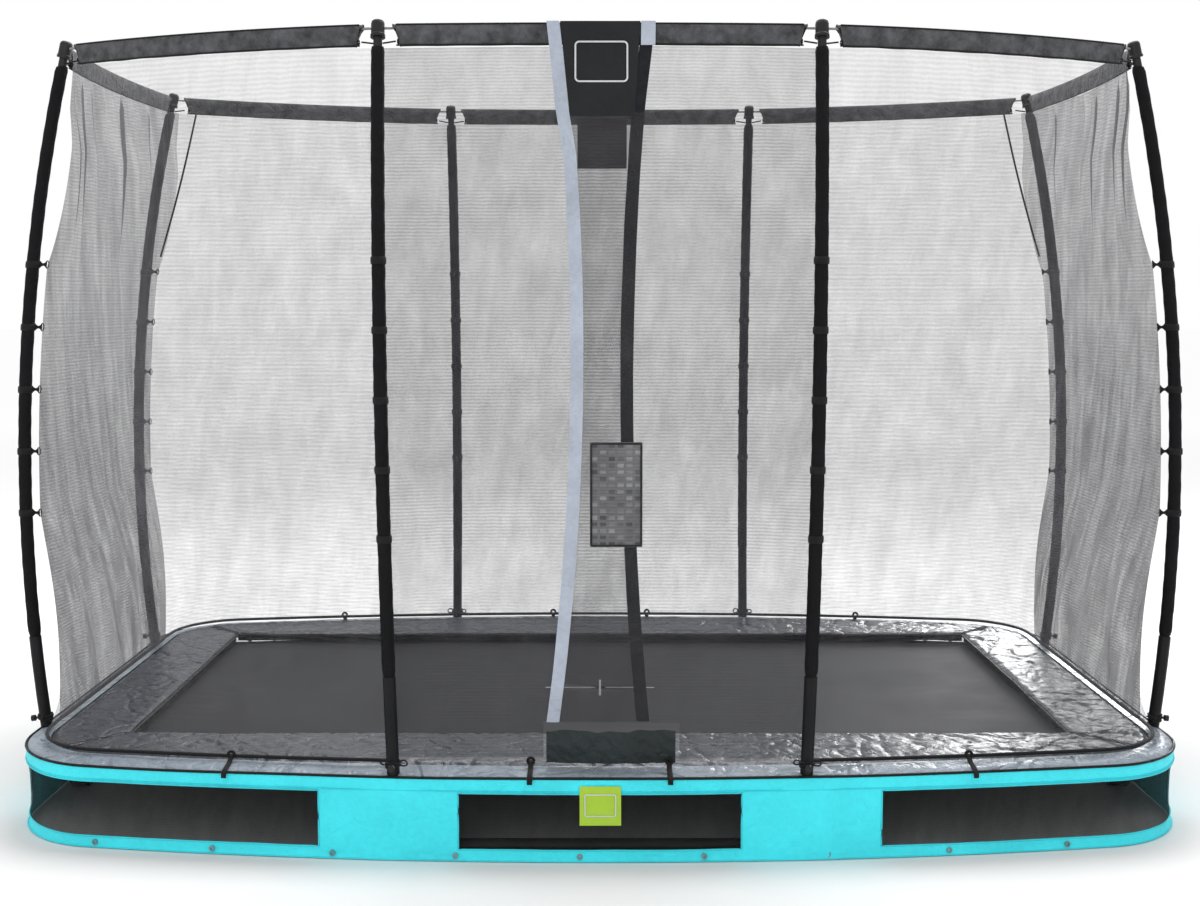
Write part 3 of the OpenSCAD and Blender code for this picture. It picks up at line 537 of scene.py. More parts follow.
def net_gap(z):
    """How far the net stands in from a pole's axis at height z."""
    t = clamp((TIE_Z - z) / (TIE_Z - NET_FOOT))
    if z > GAP_TOP:
        return TIE_GAP * clamp((RING_Z - z) / (RING_Z - GAP_TOP))
    return TIE_GAP + 0.014 * t + 0.024 * math.sin(math.pi * t)


def net_front_y(z):
    return -(FRONT_APEX - drop(z) - net_gap(z))


def net_side_x(z):
    return SIDE_APEX - drop(z) - net_gap(z)


def slack(z, distance):
    """Between the ring and the topmost tie the net hangs free, and stands in from its pole."""
    t = clamp((z - TOP_TIE) / (RING_Z - TOP_TIE))
    return 0.034 * math.sin(math.pi * t ** 0.8) * (1 - smooth(distance / 0.35))


def foot_pull(z):
    return clamp(1 - (z - NET_FOOT) / 0.620) ** 2


SAG_START = 1.900


def head_sag(z, sag):
    """How far the net bows out between poles, up to the ring's own bow at its head."""
    return sag * smooth((z - SAG_START) / (NET_HEAD - SAG_START))


def chord_pt(a, b, u, sag):
    dx, dy = b[0] - a[0], b[1] - a[1]
    n = math.hypot(dx, dy)
    k = sag * 4 * u * (1 - u)
    return (lerp(a[0], b[0], u) + dy / n * k, lerp(a[1], b[1], u) - dx / n * k)


def pole_pull(z, distance):
    """How far the net passes inside its own line near a pole, to clear the pole's sleeve."""
    clear = max(0.0, 0.028 - net_gap(z)) * (1 - smooth(distance / 0.10))
    return clear + slack(z, distance)


def corner_net(lean):
    """The net between a pole on a long side and the next pole on an end, in the front right quarter."""
    def shape(u, z):
        p = chord_pt((front_x(z, lean), net_front_y(z)), (net_side_x(z), -SIDE_POLE_Y), u,
                     head_sag(z, 0.048))
        p = (p[0] - pole_pull(z, (1 - u) * CORNER_W), p[1] + pole_pull(z, u * CORNER_W))
        return mix(p, edge_pt(NET_INSET, u, front_x(NET_FOOT, lean)), foot_pull(z))
    return shape


def side_net(u, z):
    p = chord_pt((net_side_x(z), -SIDE_POLE_Y), (net_side_x(z), SIDE_POLE_Y), u, head_sag(z, 0.035))
    p = (p[0] - pole_pull(z, min(u, 1 - u) * SIDE_W), p[1])
    return mix(p, (OUTLINE_L / 2 - NET_INSET, lerp(-SIDE_POLE_Y, SIDE_POLE_Y, u)), foot_pull(z))


def long_net(u, z):
    y = net_front_y(z)
    p = chord_pt((-FRONT_POLE_X, y), (FRONT_POLE_X, y), u, head_sag(z, 0.022))
    p = (p[0], p[1] + pole_pull(z, min(u, 1 - u) * LONG_W))
    a = lerp(-1, 1, u) * math.asin(FRONT_POLE_X / (LONG_R - NET_INSET))
    return mix(p, long_pt(NET_INSET, a), foot_pull(z))


def drape(u, z, width, seed, amount):
    """Folds that fan out below the ring and lean near the foot. They are gone at the poles."""
    s = u * width
    head = smooth((z - 1.45) / 0.9)
    foot = smooth((1.05 - z) / 0.7)
    fan = s - 0.30 * (NET_HEAD - z) * (1 - u) + 0.04 * math.sin(1.7 * z + seed)
    a = math.sin(2 * math.pi * fan / 0.150 + seed)
    b = math.sin(2 * math.pi * fan / 0.087 + 2.1 * seed)
    c = noise.noise((s * 4 + seed, z * 1.3, seed))
    d = noise.noise((fan * 9, z * 0.8, seed + 7))
    lean = math.sin(2 * math.pi * (s + 0.45 * z) / 0.26 + seed)
    edge = smooth(u / 0.08) * smooth((1 - u) / 0.08)
    fold = head * (0.40 * a + 0.25 * b + 0.9 * d) + foot * (0.5 * lean + 0.8 * d) + 0.9 * c
    ends = smooth((z - NET_FOOT) / 0.20) * (1 - smooth((z - NET_HEAD + 0.06) / 0.06) * 0.7)
    return amount * fold * edge * ends


def net_piece(name, shape, width, cols, rows, amount, seed, flip, material, cad):
    grid = []
    for r in range(rows + 1):
        z = lerp(NET_FOOT, NET_HEAD - 0.001, r / rows)
        row = []
        for c in range(cols + 1):
            u = c / cols
            p, q = shape(u, z), shape(min(u + 0.01, 1), z)
            o = shape(max(u - 0.01, 0), z)
            t = math.hypot(q[0] - o[0], q[1] - o[1])
            nx, ny = (q[1] - o[1]) / t, -(q[0] - o[0]) / t
            d = drape(u, z, width, seed, amount) - 0.003 * smooth(u / 0.05) * smooth((1 - u) / 0.05)
            row.append(((p[0] + nx * d) * flip[0], (p[1] + ny * d) * flip[1], z))
        grid.append(row)
    obj = Build().grid(grid).make(name, material, "root", "net_mesh")
    rope = Build()
    rope.tube([(x, y, z + 0.003) for x, y, z in grid[0]], 0.0058, 8)
    hem = rope.make(name + "_hem", M["strap"], "root", "black_strap")
    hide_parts(cad)


CORNER_W, SIDE_W, LONG_W = 1.36, 1.18, 1.26
for name, shape, width, cols, amount, flip, material, seed in [
    ("net_front_right", corner_net(FRONT_LEAN), CORNER_W, 120, 0.007, (1, 1), NET_CORNER, 1.0),
    ("net_front_left", corner_net(FRONT_LEAN), CORNER_W, 120, 0.007, (-1, 1), NET_CORNER, 2.3),
    ("net_back_right", corner_net(0), CORNER_W, 120, 0.006, (1, -1), NET_FRONT, 3.1),
    ("net_back_left", corner_net(0), CORNER_W, 120, 0.006, (-1, -1), NET_FRONT, 4.7),
    ("net_right", side_net, SIDE_W, 150, 0.017, (1, 1), NET_SIDE, 5.2),
    ("net_left", side_net, SIDE_W, 150, 0.017, (-1, 1), NET_SIDE, 6.4),
    ("net_back", long_net, LONG_W, 70, 0.003, (1, -1), NET_FRONT, 7.9),
]:
    net_piece(name + "_cloth", shape, width, cols, 80, amount, seed, flip, material, name)


# ---------- Entrance ----------
def light_x(z):
    return -0.068 - 0.072 * ((z - 1.500) / 1.100) ** 2


def dark_x(z):
    return 0.079 + 0.050 * ((z - 1.400) / 1.000) ** 2


OUTER_TIP, INNER_TIP = light_x(DOOR_TOP) - BAND_W / 2, dark_x(DOOR_TOP) + BAND_W / 2
LABEL_FOOT, LABEL_HEAD, LABEL_Y = 2.190, 2.466, -1.012
LABEL_SLOPE = math.tan(math.radians(4.5))


def label_y(z):
    return LABEL_Y + (z - LABEL_FOOT) * LABEL_SLOPE


def slant(z, tip):
    sign = 1 if tip < 0 else -1
    return lerp(sign * FLAP_FOOT[0], tip, (z - FLAP_FOOT[1]) / (DOOR_TOP - FLAP_FOOT[1]))


HEAD_SHIFT = net_front_y(NET_HEAD) - 0.014 - OUTER_Y
FLAT_X = 0.160


def tip_y(z, y):
    return y + HEAD_SHIFT * smooth((z - DOOR_TOP) / (NET_HEAD - DOOR_TOP))


def door_point(x, z, sign, plane, tip):
    """The door net: flat past its slanted line and past the middle, then ruled out to the pole."""
    pole_x = sign * front_x(z)
    pole_y = lerp(net_front_y(z) + pole_pull(z, 0), long_pt(NET_INSET, math.radians(3.7))[1], foot_pull(z))
    line = slant(min(z, DOOR_TOP), tip)
    line = sign * max(sign * line, FLAT_X)
    y0 = tip_y(z, plane)
    t = clamp((x - line) / (pole_x - line))
    y = lerp(y0, pole_y, t * (0.4 + 0.6 * t))
    ripple = 0.0035 * noise.noise((x * 3.5, z * 1.6, sign * 5))
    return (x, y + ripple * t * 2, z), pole_x


def swing_blend(obj, flap, tip):
    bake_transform(obj)


DOOR_ROWS, DOOR_COLS, NOTCH_Z = 90, 60, 0.395
for name, sign, plane, tip, edge, notch, flap, cad in [
    ("door_net_right", 1, OUTER_Y, OUTER_TIP, lambda z: light_x(z) - BAND_W / 2, 0.238,
     "flap_right", ("door_panel_right", "door_flap_right")),
    ("door_net_left", -1, INNER_Y, INNER_TIP, lambda z: dark_x(z) + BAND_W / 2, -0.170,
     "flap_left", ("door_panel_left", "door_flap_left")),
]:
    cloth = Build()
    for z0, z1, rows in ((NET_FOOT + 0.006, NOTCH_Z, 8), (NOTCH_Z, NET_HEAD - 0.001, DOOR_ROWS)):
        grid = []
        for r in range(rows + 1):
            z = lerp(z0, z1, r / rows)
            start = notch if z1 == NOTCH_Z else edge(z)
            row = []
            for c in range(DOOR_COLS + 1):
                pole_x = door_point(0, z, sign, plane, tip)[1]
                x = lerp(start, pole_x, c / DOOR_COLS)
                row.append(door_point(x, z, sign, plane, tip)[0])
            grid.append(row)
        cloth.grid(grid)
    obj = cloth.make(name, NET_DOOR, None, "net_mesh")
    swing_blend(obj, flap, tip)
    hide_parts(*cad)

BAND_Z0 = 0.300


def band(name, centre, width, y_at, z0, z1, material, slot, rows=110, cols=5):
    """A reinforcing band: slightly cupped, with wrinkles across it."""
    grid = []
    for r in range(rows + 1):
        z = lerp(z0, z1, r / rows)
        row = []
        for c in range(cols + 1):
            k = lerp(-1, 1, c / cols)
            y = y_at(z) - 0.0012 * (1 - k * k)
            y += 0.0016 * noise.noise((k * 0.7, z * 19, len(name)))
            x = centre(z) + k * width / 2 + 0.0012 * noise.noise((z * 7, k * 0.5, 3.3))
            row.append((x, y, z))
        grid.append(row)
    return Build().grid(grid).make(name, material, None, slot)


def light_centre(z):
    return light_x(z) - 0.0135 * smooth((z - 2.05) / 0.2)


def dark_centre(z):
    return dark_x(z) + 0.005 * smooth((z - 2.2) / 0.2)


def outer_band_y(z):
    return lerp(OUTER_Y - 0.0026, label_y(z) - 0.003, smooth((z - 2.10) / 0.14))


def inner_band_y(z):
    return lerp(INNER_Y - 0.0026, label_y(z) + 0.002, smooth((z - 2.10) / 0.20))


light = band("band_light_cloth", light_centre, BAND_W, outer_band_y, THRESHOLD_TOP + 0.012, LABEL_HEAD,
             M["light_band"], "light_webbing")
swing_blend(light, "flap_right", OUTER_TIP)
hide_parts("band_light", "band_tops")
dark = band("band_dark_cloth", dark_centre, BAND_W, inner_band_y, THRESHOLD_TOP + 0.012, 2.40,
            M["dark_band"], "dark_webbing")
swing_blend(dark, "flap_left", INNER_TIP)
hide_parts("band_dark")
top = band("band_top_cloth", lambda z: 0.1405 + (z - 2.43) * 0.02, 0.042, lambda z: label_y(z) - 0.002,
           2.396, LABEL_HEAD, M["light_band"], "light_webbing", 16)
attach(top, "root")

CARD = (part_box("door_card")[0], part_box("door_card")[1])
PATCH_X, PATCH_Z = (-0.066, 0.078), (2.040, 2.185)


def panel(name, corners, y_at, material, slot, rows=24, cols=24, bow=0.002, seed=1.0, body="root"):
    """A small cloth panel between four corners in the XZ plane, gently bowed."""
    (x00, z0), (x10, _), (x11, z1), (x01, _) = corners
    grid, uvs = [], []
    for r in range(rows + 1):
        v = r / rows
        z = lerp(z0, z1, v)
        row, uv = [], []
        for c in range(cols + 1):
            u = c / cols
            x = lerp(lerp(x00, x01, v), lerp(x10, x11, v), u)
            y = y_at(z) - bow * math.sin(math.pi * u) * math.sin(math.pi * v)
            y += bow * 0.8 * noise.noise((x * 9 + seed, z * 9, seed))
            row.append((x, y, z))
            uv.append((x - x00, z - z0))
        grid.append(row)
        uvs.append(uv)
    return Build().grid(grid, uvs).make(name, material, body, slot)


label = panel("label_cloth", [(-0.088, LABEL_FOOT), (0.101, LABEL_FOOT),
                              (0.118, LABEL_HEAD), (-0.116, LABEL_HEAD)], label_y,
              M["label"], "label_fabric")
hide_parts("label_panel")


def frame_strip(name, cx, cz, half_w, half_h, radius, width, y_at, material, slot, body="root"):
    """A rounded square outline, as a flat printed line."""
    rings = []
    for inset in (0.0, width):
        ring = []
        for q, (sx, sz) in enumerate(((1, 1), (-1, 1), (-1, -1), (1, -1))):
            for k in range(9):
                a = math.radians(90 * q + 90 * k / 8)
                r = radius - inset
                x = cx + sx * (half_w - radius) + r * math.cos(a)
                z = cz + sz * (half_h - radius) + r * math.sin(a)
                ring.append((x, y_at(z) - 0.0032, z))
        rings.append(ring)
    return Build().grid(rings, close=True).make(name, material, body, slot)


frame_strip("label_line", 0.004, 2.348, 0.078, 0.060, 0.014, 0.005, label_y, M["print"], "light_webbing")

patch = panel("patch_cloth", [(PATCH_X[0], PATCH_Z[0]), (PATCH_X[1], PATCH_Z[0]),
                              (PATCH_X[1], PATCH_Z[1]), (PATCH_X[0], PATCH_Z[1])],
              lambda z: INNER_Y + 0.008, M["patch"], "patch_fabric")
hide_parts("net_patch")

card = panel("card_cloth", [(CARD[0].x, CARD[0].z), (CARD[1].x, CARD[0].z),
                            (CARD[1].x, CARD[1].z), (CARD[0].x, CARD[1].z)],
             lambda z: INNER_Y - 0.006, M["card"], "card", 30, 16, 0.004, 4.0, body="flap_left")
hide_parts("door_card")
frame_strip("card_line", (CARD[0].x + CARD[1].x) / 2, (CARD[0].z + CARD[1].z) / 2,
            0.077, 0.155, 0.008, 0.006, lambda z: INNER_Y - 0.0075,
            M["dark_band"], "dark_webbing", body="flap_left")

threshold_rows = []
for r in range(19):
    v = r / 18
    row = []
    for c in range(61):
        u = c / 60
        gather = (1 - smooth(u / 0.14)) + (1 - smooth((1 - u) / 0.14))
        foot = NET_FOOT - 0.004 * math.sin(math.pi * u)
        head = (THRESHOLD_TOP - 0.012 * math.sin(math.pi * u) - 0.010 * gather
                + 0.004 * noise.noise((u * 9, 1.1, 2.0)))
        z = lerp(foot, head, v)
        fold = 0.006 * noise.noise((u * 14 + v * 3, v * 2.5, 2.0))
        fold += 0.004 * gather * math.sin(v * 16 + u * 30)
        row.append((lerp(-0.160, 0.225, u), OUTER_Y - 0.021 - 0.006 * math.sin(math.pi * v) + fold, z))
    threshold_rows.append(row)
threshold = Build().grid(threshold_rows).make("threshold_cloth", M["threshold"], "root", "label_fabric")
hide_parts("door_threshold")

# ---------- Poles, ties and ring ----------
for i in range(8):
    rows = 130
    cloth = Build()
    grid = []
    for r in range(rows + 1):
        z = lerp(JOINT_Z + 0.002, SLEEVE_TOP, r / rows)
        row = []
        for k in range(24):
            w = 2 * math.pi * k / 24
            swell = 0.0007 * noise.noise((w * 0.5, z * 14, i * 3.1)) + 0.0005 * math.sin(z * 95 + i)
            radius = SLEEVE_R - 0.0006 + swell
            if r in (0, rows):
                radius -= 0.003
            row.append(pole_point(i, z, radius * math.cos(w), radius * math.sin(w)))
        grid.append(row)
    cloth.grid(grid, close=True)
    seam_path = [pole_point(i, lerp(JOINT_Z + 0.01, SLEEVE_TOP - 0.01, k / 80),
                            0.0185 * math.cos(0.9), 0.0195 * math.sin(0.9)) for k in range(81)]
    cloth.tube(seam_path, 0.0014, 5)
    obj = cloth.make(f"pole_sleeve_{i + 1}", M["sleeve"], "root", "sleeve_fabric")
    if i == 0:
        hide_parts("pole_sleeves")

ties = Build()
for i in range(8):
    for k in range(TIE_COUNT):
        z = TIE_Z + k * TIE_PITCH
        rings = []
        for dz, r in ((-0.011, 0.0212), (-0.009, 0.0228), (0, 0.0233), (0.009, 0.0228), (0.011, 0.0212)):
            rings.append([pole_point(i, z + dz, r * math.cos(w), r * math.sin(w))
                          for w in circle(20)])
        ties.grid(rings, close=True)
        for side in (-0.0012, 0.0012):
            strap = []
            for n in range(9):
                t = n / 8
                half = 0.004 + 0.009 * (2 * t - 1) ** 2
                out = lerp(-0.0215, -0.0445, t)
                strap.append([pole_point(i, z + s * half, out, side * (1 + math.sin(math.pi * t)))
                              for s in (-1, -0.4, 0.4, 1)])
            ties.grid(strap)
        ties.tube([pole_point(i, z + 0.012 * math.sin(a), -0.0455 + 0.003 * math.cos(a), 0.006 * math.cos(a))
                   for a in circle(12)], 0.0018, 5, closed=True)
tie_obj = ties.make("pole_tie_straps", M["strap"], "root", "black_strap")
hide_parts("pole_ties")


def ring_arc(i, count, trim=0.0, z=RING_Z):
    """Points along the ring between pole i and the next, and their outward directions."""
    p, q = pole_point(i, RING_Z), pole_point((i + 1) % 8, RING_Z)
    dx, dy = q[0] - p[0], q[1] - p[1]
    half, sag = math.hypot(dx, dy) / 2, RING_SAG[i]
    r = (half * half + sag * sag) / (2 * sag)
    ox, oy = dy / (2 * half), -dx / (2 * half)
    cx, cy = (p[0] + q[0]) / 2 + ox * (sag - r), (p[1] + q[1]) / 2 + oy * (sag - r)
    mid = math.atan2(oy, ox)
    span = math.asin(half / r) - trim / r
    out = []
    for k in range(count + 1):
        a = mid + lerp(-span, span, k / count)
        out.append(((cx + r * math.cos(a), cy + r * math.sin(a), z), (math.cos(a), math.sin(a)), r))
    return out


for i in range(8):
    arc = ring_arc(i, 90, 0.055)
    profile = []
    for k in range(28):
        w = 2 * math.pi * k / 28
        c, s = math.cos(w), math.sin(w)
        profile.append((math.copysign(abs(c) ** 0.55, c), math.copysign(abs(s) ** 0.75, s)))
    grid = []
    n = len(arc) - 1
    for k, ((x, y, z), (ox, oy), r) in enumerate(arc):
        tx, ty = -oy, ox
        row = []
        puff = 0.0012 * noise.noise((k * 0.22, i * 2.7, 1.5))
        for a, b in profile:
            half_t = 0.0065 + puff + 0.0022 * math.cos(math.pi * b) * (1 if b < 0.6 else 0.4)
            half_t += 0.001 * noise.noise((k * 0.35, b * 2.2, i))
            if b > 0.2:
                half_t = 0.0075
            height = 0.011 if b > 0 else 0.053
            # The ends are cut on a slant, so that they reach further at the top.
            end = (0.010 if b > 0 else -0.012 * abs(b)) * ((k == 0) - (k == n))
            px = x + ox * a * half_t - tx * end
            py = y + oy * a * half_t - ty * end
            drop_z = 0.0015 * noise.noise((k * 0.15, 4.2, i)) if b < 0 else 0
            row.append((px, py, z + b * height + drop_z))
        grid.append(row)
    sleeve = Build().grid(grid, close=True)
    sleeve.faces.append(tuple(range(len(profile))))
    sleeve.faces.append(tuple(n * len(profile) + k for k in reversed(range(len(profile)))))
    for end in (0, n):
        base = grid[end]
        sleeve.tube(base, 0.0016, 5, closed=True)
    obj = sleeve.make(f"ring_sleeve_{i + 1}", M["ring"], "root", "ring_fabric")
    if i == 0:
        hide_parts("ring_sleeves")
    edge = Build()
    edge.tube([(x + ox * 0.006, y + oy * 0.006, z + 0.0095) for (x, y, z), (ox, oy), r in arc], 0.003, 6)
    edge.tube([(x + ox * 0.004, y + oy * 0.004, z - 0.050) for (x, y, z), (ox, oy), r in arc], 0.0026, 6)
    edge.make(f"ring_edge_{i + 1}", M["strap"], "root", "black_strap")

# Knots where the elastic cords pass through the sleeves' lower corners.
knots = Build()
for i in range(8):
    for arc_i, k in ((i, 0), ((i - 1) % 8, -1)):
        (x, y, z), (ox, oy), r = ring_arc(arc_i, 2, 0.060)[k]
        path = [(x + ox * 0.008 * math.cos(a), y + oy * 0.008 * math.cos(a),
                 NET_HEAD + 0.014 + 0.006 * math.sin(a))
                for a in circle(10)]
        knots.tube(path, 0.003, 6, closed=True)
knots.make("cord_knots", M["elastic"], "root", "elastic")

# Bundles of tie cord at the foot of each pole.
bundle = Build()
for i in range(8):
    for turn, (height, radius) in enumerate(((0.020, 0.0215), (0.026, 0.0222), (0.032, 0.0215))):
        bundle.tube([pole_point(i, PAD_TOP + height - 0.012 + 0.004 * math.sin(2 * a + turn),
                                radius * math.cos(a), radius * math.sin(a))
                     for a in circle(24)], 0.003, 6, closed=True)
    for s, size in ((1, 0.022), (-1, 0.018), (0.3, 0.014)):
        bundle.tube([pole_point(i, PAD_TOP + 0.012
                                + size * 0.55 * math.sin(a) * (1 if math.sin(a) > 0 else 0.5),
                                -0.006 + 0.020 * s * 0.2, s * (0.020 + size * (1 + math.cos(a)) / 2))
                     for a in circle(18)], 0.0024, 6, closed=True)
bundle.make("base_tie_cords", M["elastic"], "root", "elastic")

# A loose strap hangs from the ring beside each back end pole, and swings back to the pole.
ends = Build()
for s in (-1, 1):
    top = Vector(pole_point(3, 2.395)) + Vector((-0.100, 0.010, 0))
    foot = Vector(pole_point(3, 1.830)) + Vector((-0.060, -0.030, 0))
    path = []
    for k in range(25):
        t = k / 24
        p = top.lerp(foot, t) + Vector((-0.012 * math.sin(math.pi * t), -0.018 * math.sin(math.pi * t), 0))
        path.append((s * p.x, p.y, p.z))
    ends.tube(path, 0.0042, 6, flat=0.35)
ends.make("loose_strap_ends", M["strap"], "root", "black_strap")


# ---------- Outline loops ----------
def outline_loop(inset, step=0.03):
    """Closed loop round the outline moved in by inset: points, outward directions, arc length."""
    quarter = []
    n1 = max(2, round((LONG_R - inset) * BLEND_A / step))
    n2 = max(8, round((CORNER_R - inset) * (math.pi / 2 - BLEND_A) / (step * 0.6)))
    n3 = max(2, round(CORNER_Y / step))
    for k in range(n1):
        a = BLEND_A * k / n1
        quarter.append((long_pt(inset, a), (math.sin(a), -math.cos(a))))
    for k in range(n2):
        a = lerp(BLEND_A, math.pi / 2, k / n2)
        quarter.append((corner_pt(inset, a), (math.sin(a), -math.cos(a))))
    for k in range(n3):
        quarter.append(((OUTLINE_L / 2 - inset, lerp(-CORNER_Y, 0, k / n3)), (1, 0)))
    half = quarter + mirror([((OUTLINE_L / 2 - inset, 0), (1, 0))] + quarter[:0:-1], 1, -1)
    back = [((0.0, OUTLINE_W / 2 - inset), (0.0, 1.0))]
    return half + back + mirror(half[:0:-1], -1, 1)


# ---------- Pads ----------
PAD_SPLIT = 0.078
loop = outline_loop(PAD_SPLIT, 0.012)


def corner_index():
    """The loop index nearest to the mitre line in the front right quarter."""
    return min(range(len(loop) // 3),
               key=lambda k: abs((loop[k][0][0] - OPEN_X) - (-loop[k][0][1] - OPEN_Y)))


MITRE = corner_index()
PAD_T = 0.025


def crease(x, y, scale, seed, width):
    """1 along a thin wandering line, 0 away from it."""
    wx = x + 0.03 * noise.noise((x * 9, y * 9, seed + 5))
    wy = y + 0.03 * noise.noise((x * 9, y * 9, seed + 9))
    return 1 - smooth(abs(noise.noise((wx * scale, wy * scale, seed))) / width)


def pad_height(x, y, edge, seed):
    """How far the pad's cover stands above its plain top face: lumps, creases and seam puckers."""
    lump = 0.0030 * noise.noise((x * 7, y * 7, seed))
    fold = 0.0040 * crease(x, y, 8, seed + 1, 0.11) + 0.0024 * crease(x, y, 17, seed + 2, 0.15)
    fine = 0.0010 * noise.noise((x * 42, y * 42, seed + 3))
    pucker = 0.0026 * noise.noise(((x + y) * 34, (x - y) * 34, seed + 4)) * (1 - smooth((edge - 0.02) / 0.06))
    return lump - fold + fine + pucker


def pad_piece(name, inner, outer, count, cad, seed):
    """A stuffed pad between two edge lines: crowned top, pulled-in edges, flat underside."""
    top, under = [], []
    across_steps = [0.0, 0.012, 0.032, 0.058]
    across_steps += [lerp(0.09, 0.91, k / 26) for k in range(27)]
    across_steps += [0.942, 0.968, 0.988, 1.0]
    length = math.dist(inner(0), inner(1))
    for k in range(count + 1):
        t = k / count
        a, b = inner(t), outer(t)
        row_t, row_u = [], []
        width = math.dist(a, b)
        for s in across_steps:
            edge = min(s, 1 - s) * width
            end = min(t, 1 - t) * length
            puff = smooth(edge / 0.022) ** 0.7 * (0.55 + 0.45 * smooth(end / 0.015))
            wob = 0.009 * noise.noise((t * length * 4, 9.1, seed)) * (1 - s) ** 2
            x, y = lerp(a[0], b[0], s), lerp(a[1], b[1], s)
            dx, dy = (b[0] - a[0]) / width, (b[1] - a[1]) / width
            z_mid = PAD_TOP - PAD_T / 2
            h = (PAD_T / 2) * puff + pad_height(x, y, edge, seed) * smooth(edge / 0.03)
            x, y = x + dx * wob, y + dy * wob
            row_t.append((x, y, z_mid + max(h, 0.001)))
            row_u.append((x, y, z_mid - (PAD_T / 2 - 0.001) * puff))
        top.append(row_t)
        under.append(row_u)
    shell = []
    for rt, ru in zip(top, under):
        shell.append(rt + ru[::-1])
    build = Build().grid(shell, close=True)
    m = len(shell[0])
    build.faces.append(tuple(range(m))[::-1])
    build.faces.append(tuple(count * m + k for k in range(m)))
    obj = build.make(name, M["pad"], "root", "pad_vinyl")
    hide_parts(cad)
    seams_and_edge_shade = Build()
    seams_and_edge_shade.tube([(p[1][0] * 0.4 + p[2][0] * 0.6, p[1][1] * 0.4 + p[2][1] * 0.6, p[2][2] + 0.0004)
                    for p in top], 0.0016, 5)
    for row in (top[1], top[-2]):
        seams_and_edge_shade.tube([(x, y, z + 0.0006) for x, y, z in row[2:-1]], 0.0014, 5)
    # The thick black cord along the inner edge is partly a hem and partly painted shade under that edge.
    seams_and_edge_shade.tube([(p[0][0], p[0][1], p[0][2] + 0.001) for p in top], 0.0042, 6)
    seams_and_edge_shade.make(name + "_seams_and_edge_shade", M["piping"], "root", "piping")


def run_between(k0, k1):
    """A function of t along the loop from index k0 to k1, evenly by length."""
    ks = list(range(k0, k1 + 1))
    pts = [loop[k % len(loop)][0] for k in ks]
    dist = [0.0]
    for p, q in zip(pts, pts[1:]):
        dist.append(dist[-1] + math.dist(p, q))

    def at(t):
        d = t * dist[-1]
        for j in range(1, len(dist)):
            if dist[j] >= d:
                f = (d - dist[j - 1]) / max(dist[j] - dist[j - 1], 1e-9)
                return mix(pts[j - 1], pts[j], f)
        return pts[-1]
    return at


def straight(p, q):
    return lambda t: mix(p, q, t)


half_count = len(loop) // 2
MITRE_GAP = 0.001
front_line = run_between(-MITRE, MITRE)
right_line = run_between(MITRE, half_count - MITRE)
IN_X, IN_Y = OPEN_X - MITRE_GAP, OPEN_Y - MITRE_GAP
pad_piece("pad_front_cover", straight((-IN_X, -OPEN_Y), (IN_X, -OPEN_Y)), front_line, 330, "pad_front", 1.0)
pad_piece("pad_back_cover", straight((-IN_X, OPEN_Y), (IN_X, OPEN_Y)),
          lambda t: (front_line(t)[0], -front_line(t)[1]), 330, "pad_back", 11.0)
pad_piece("pad_right_cover", straight((OPEN_X, -IN_Y), (OPEN_X, IN_Y)), right_line, 160, "pad_right", 21.0)
pad_piece("pad_left_cover", straight((-OPEN_X, -IN_Y), (-OPEN_X, IN_Y)),
          lambda t: (-right_line(t)[0], right_line(t)[1]), 160, "pad_left", 31.0)


# The black lining that hangs from the pads' inner edge and hides the springs. It is partly painted shade: a
# dark sheet where the shade under that edge falls.
lining_and_shade = Build()
for p, q in (((-OPEN_X, -OPEN_Y), (OPEN_X, -OPEN_Y)), ((OPEN_X, -OPEN_Y), (OPEN_X, OPEN_Y)),
             ((OPEN_X, OPEN_Y), (-OPEN_X, OPEN_Y)), ((-OPEN_X, OPEN_Y), (-OPEN_X, -OPEN_Y))):
    run = math.dist(p, q)
    tx, ty = (q[0] - p[0]) / run, (q[1] - p[1]) / run
    rows = []
    for level in range(6):
        v = level / 5
        row = []
        for k in range(int(run / 0.015) + 1):
            t = k / int(run / 0.015)
            swing = 0.012 * noise.noise((t * run * 5, v * 0.8, p[0] + p[1])) * v
            swing *= smooth(min(t, 1 - t) / 0.03)
            x = lerp(p[0], q[0], t) + ty * (0.006 - swing)
            y = lerp(p[1], q[1], t) - tx * (0.006 - swing)
            ragged = 0.006 * noise.noise((t * run * 8, 5.0, p[0])) * v
            row.append((x, y, lerp(PAD_TOP - 0.006, MAT_Z + 0.006, v) + 0.5 * ragged))
        rows.append(row)
    lining_and_shade.grid(rows)
lining_and_shade_obj = lining_and_shade.make("pad_lining_and_shade", M["lining_and_shade"], "root", "black_strap")


# ---------- Edge strip, piping, skirt ----------
RIM_STEP = 0.012
base_loop = outline_loop(0.0, RIM_STEP)
arc_len = [0.0]
for (p, _), (q, _) in zip(base_loop, base_loop[1:]):
    arc_len.append(arc_len[-1] + math.dist(p, q))
TOTAL = arc_len[-1] + math.dist(base_loop[-1][0], base_loop[0][0])


def ring_sheet(levels, displace):
    """A closed sheet round the outline from (inset, z) levels."""
    grid, uvs = [], []
    for inset, z in levels:
        row, uv = [], []
        for k, (p, d) in enumerate(base_loop):
            dn, dz = displace(arc_len[k], inset, z)
            row.append((p[0] - d[0] * (inset - dn), p[1] - d[1] * (inset - dn), z + dz))
            uv.append((arc_len[k], z - inset))
        grid.append(row)
        uvs.append(uv)
    return grid, uvs


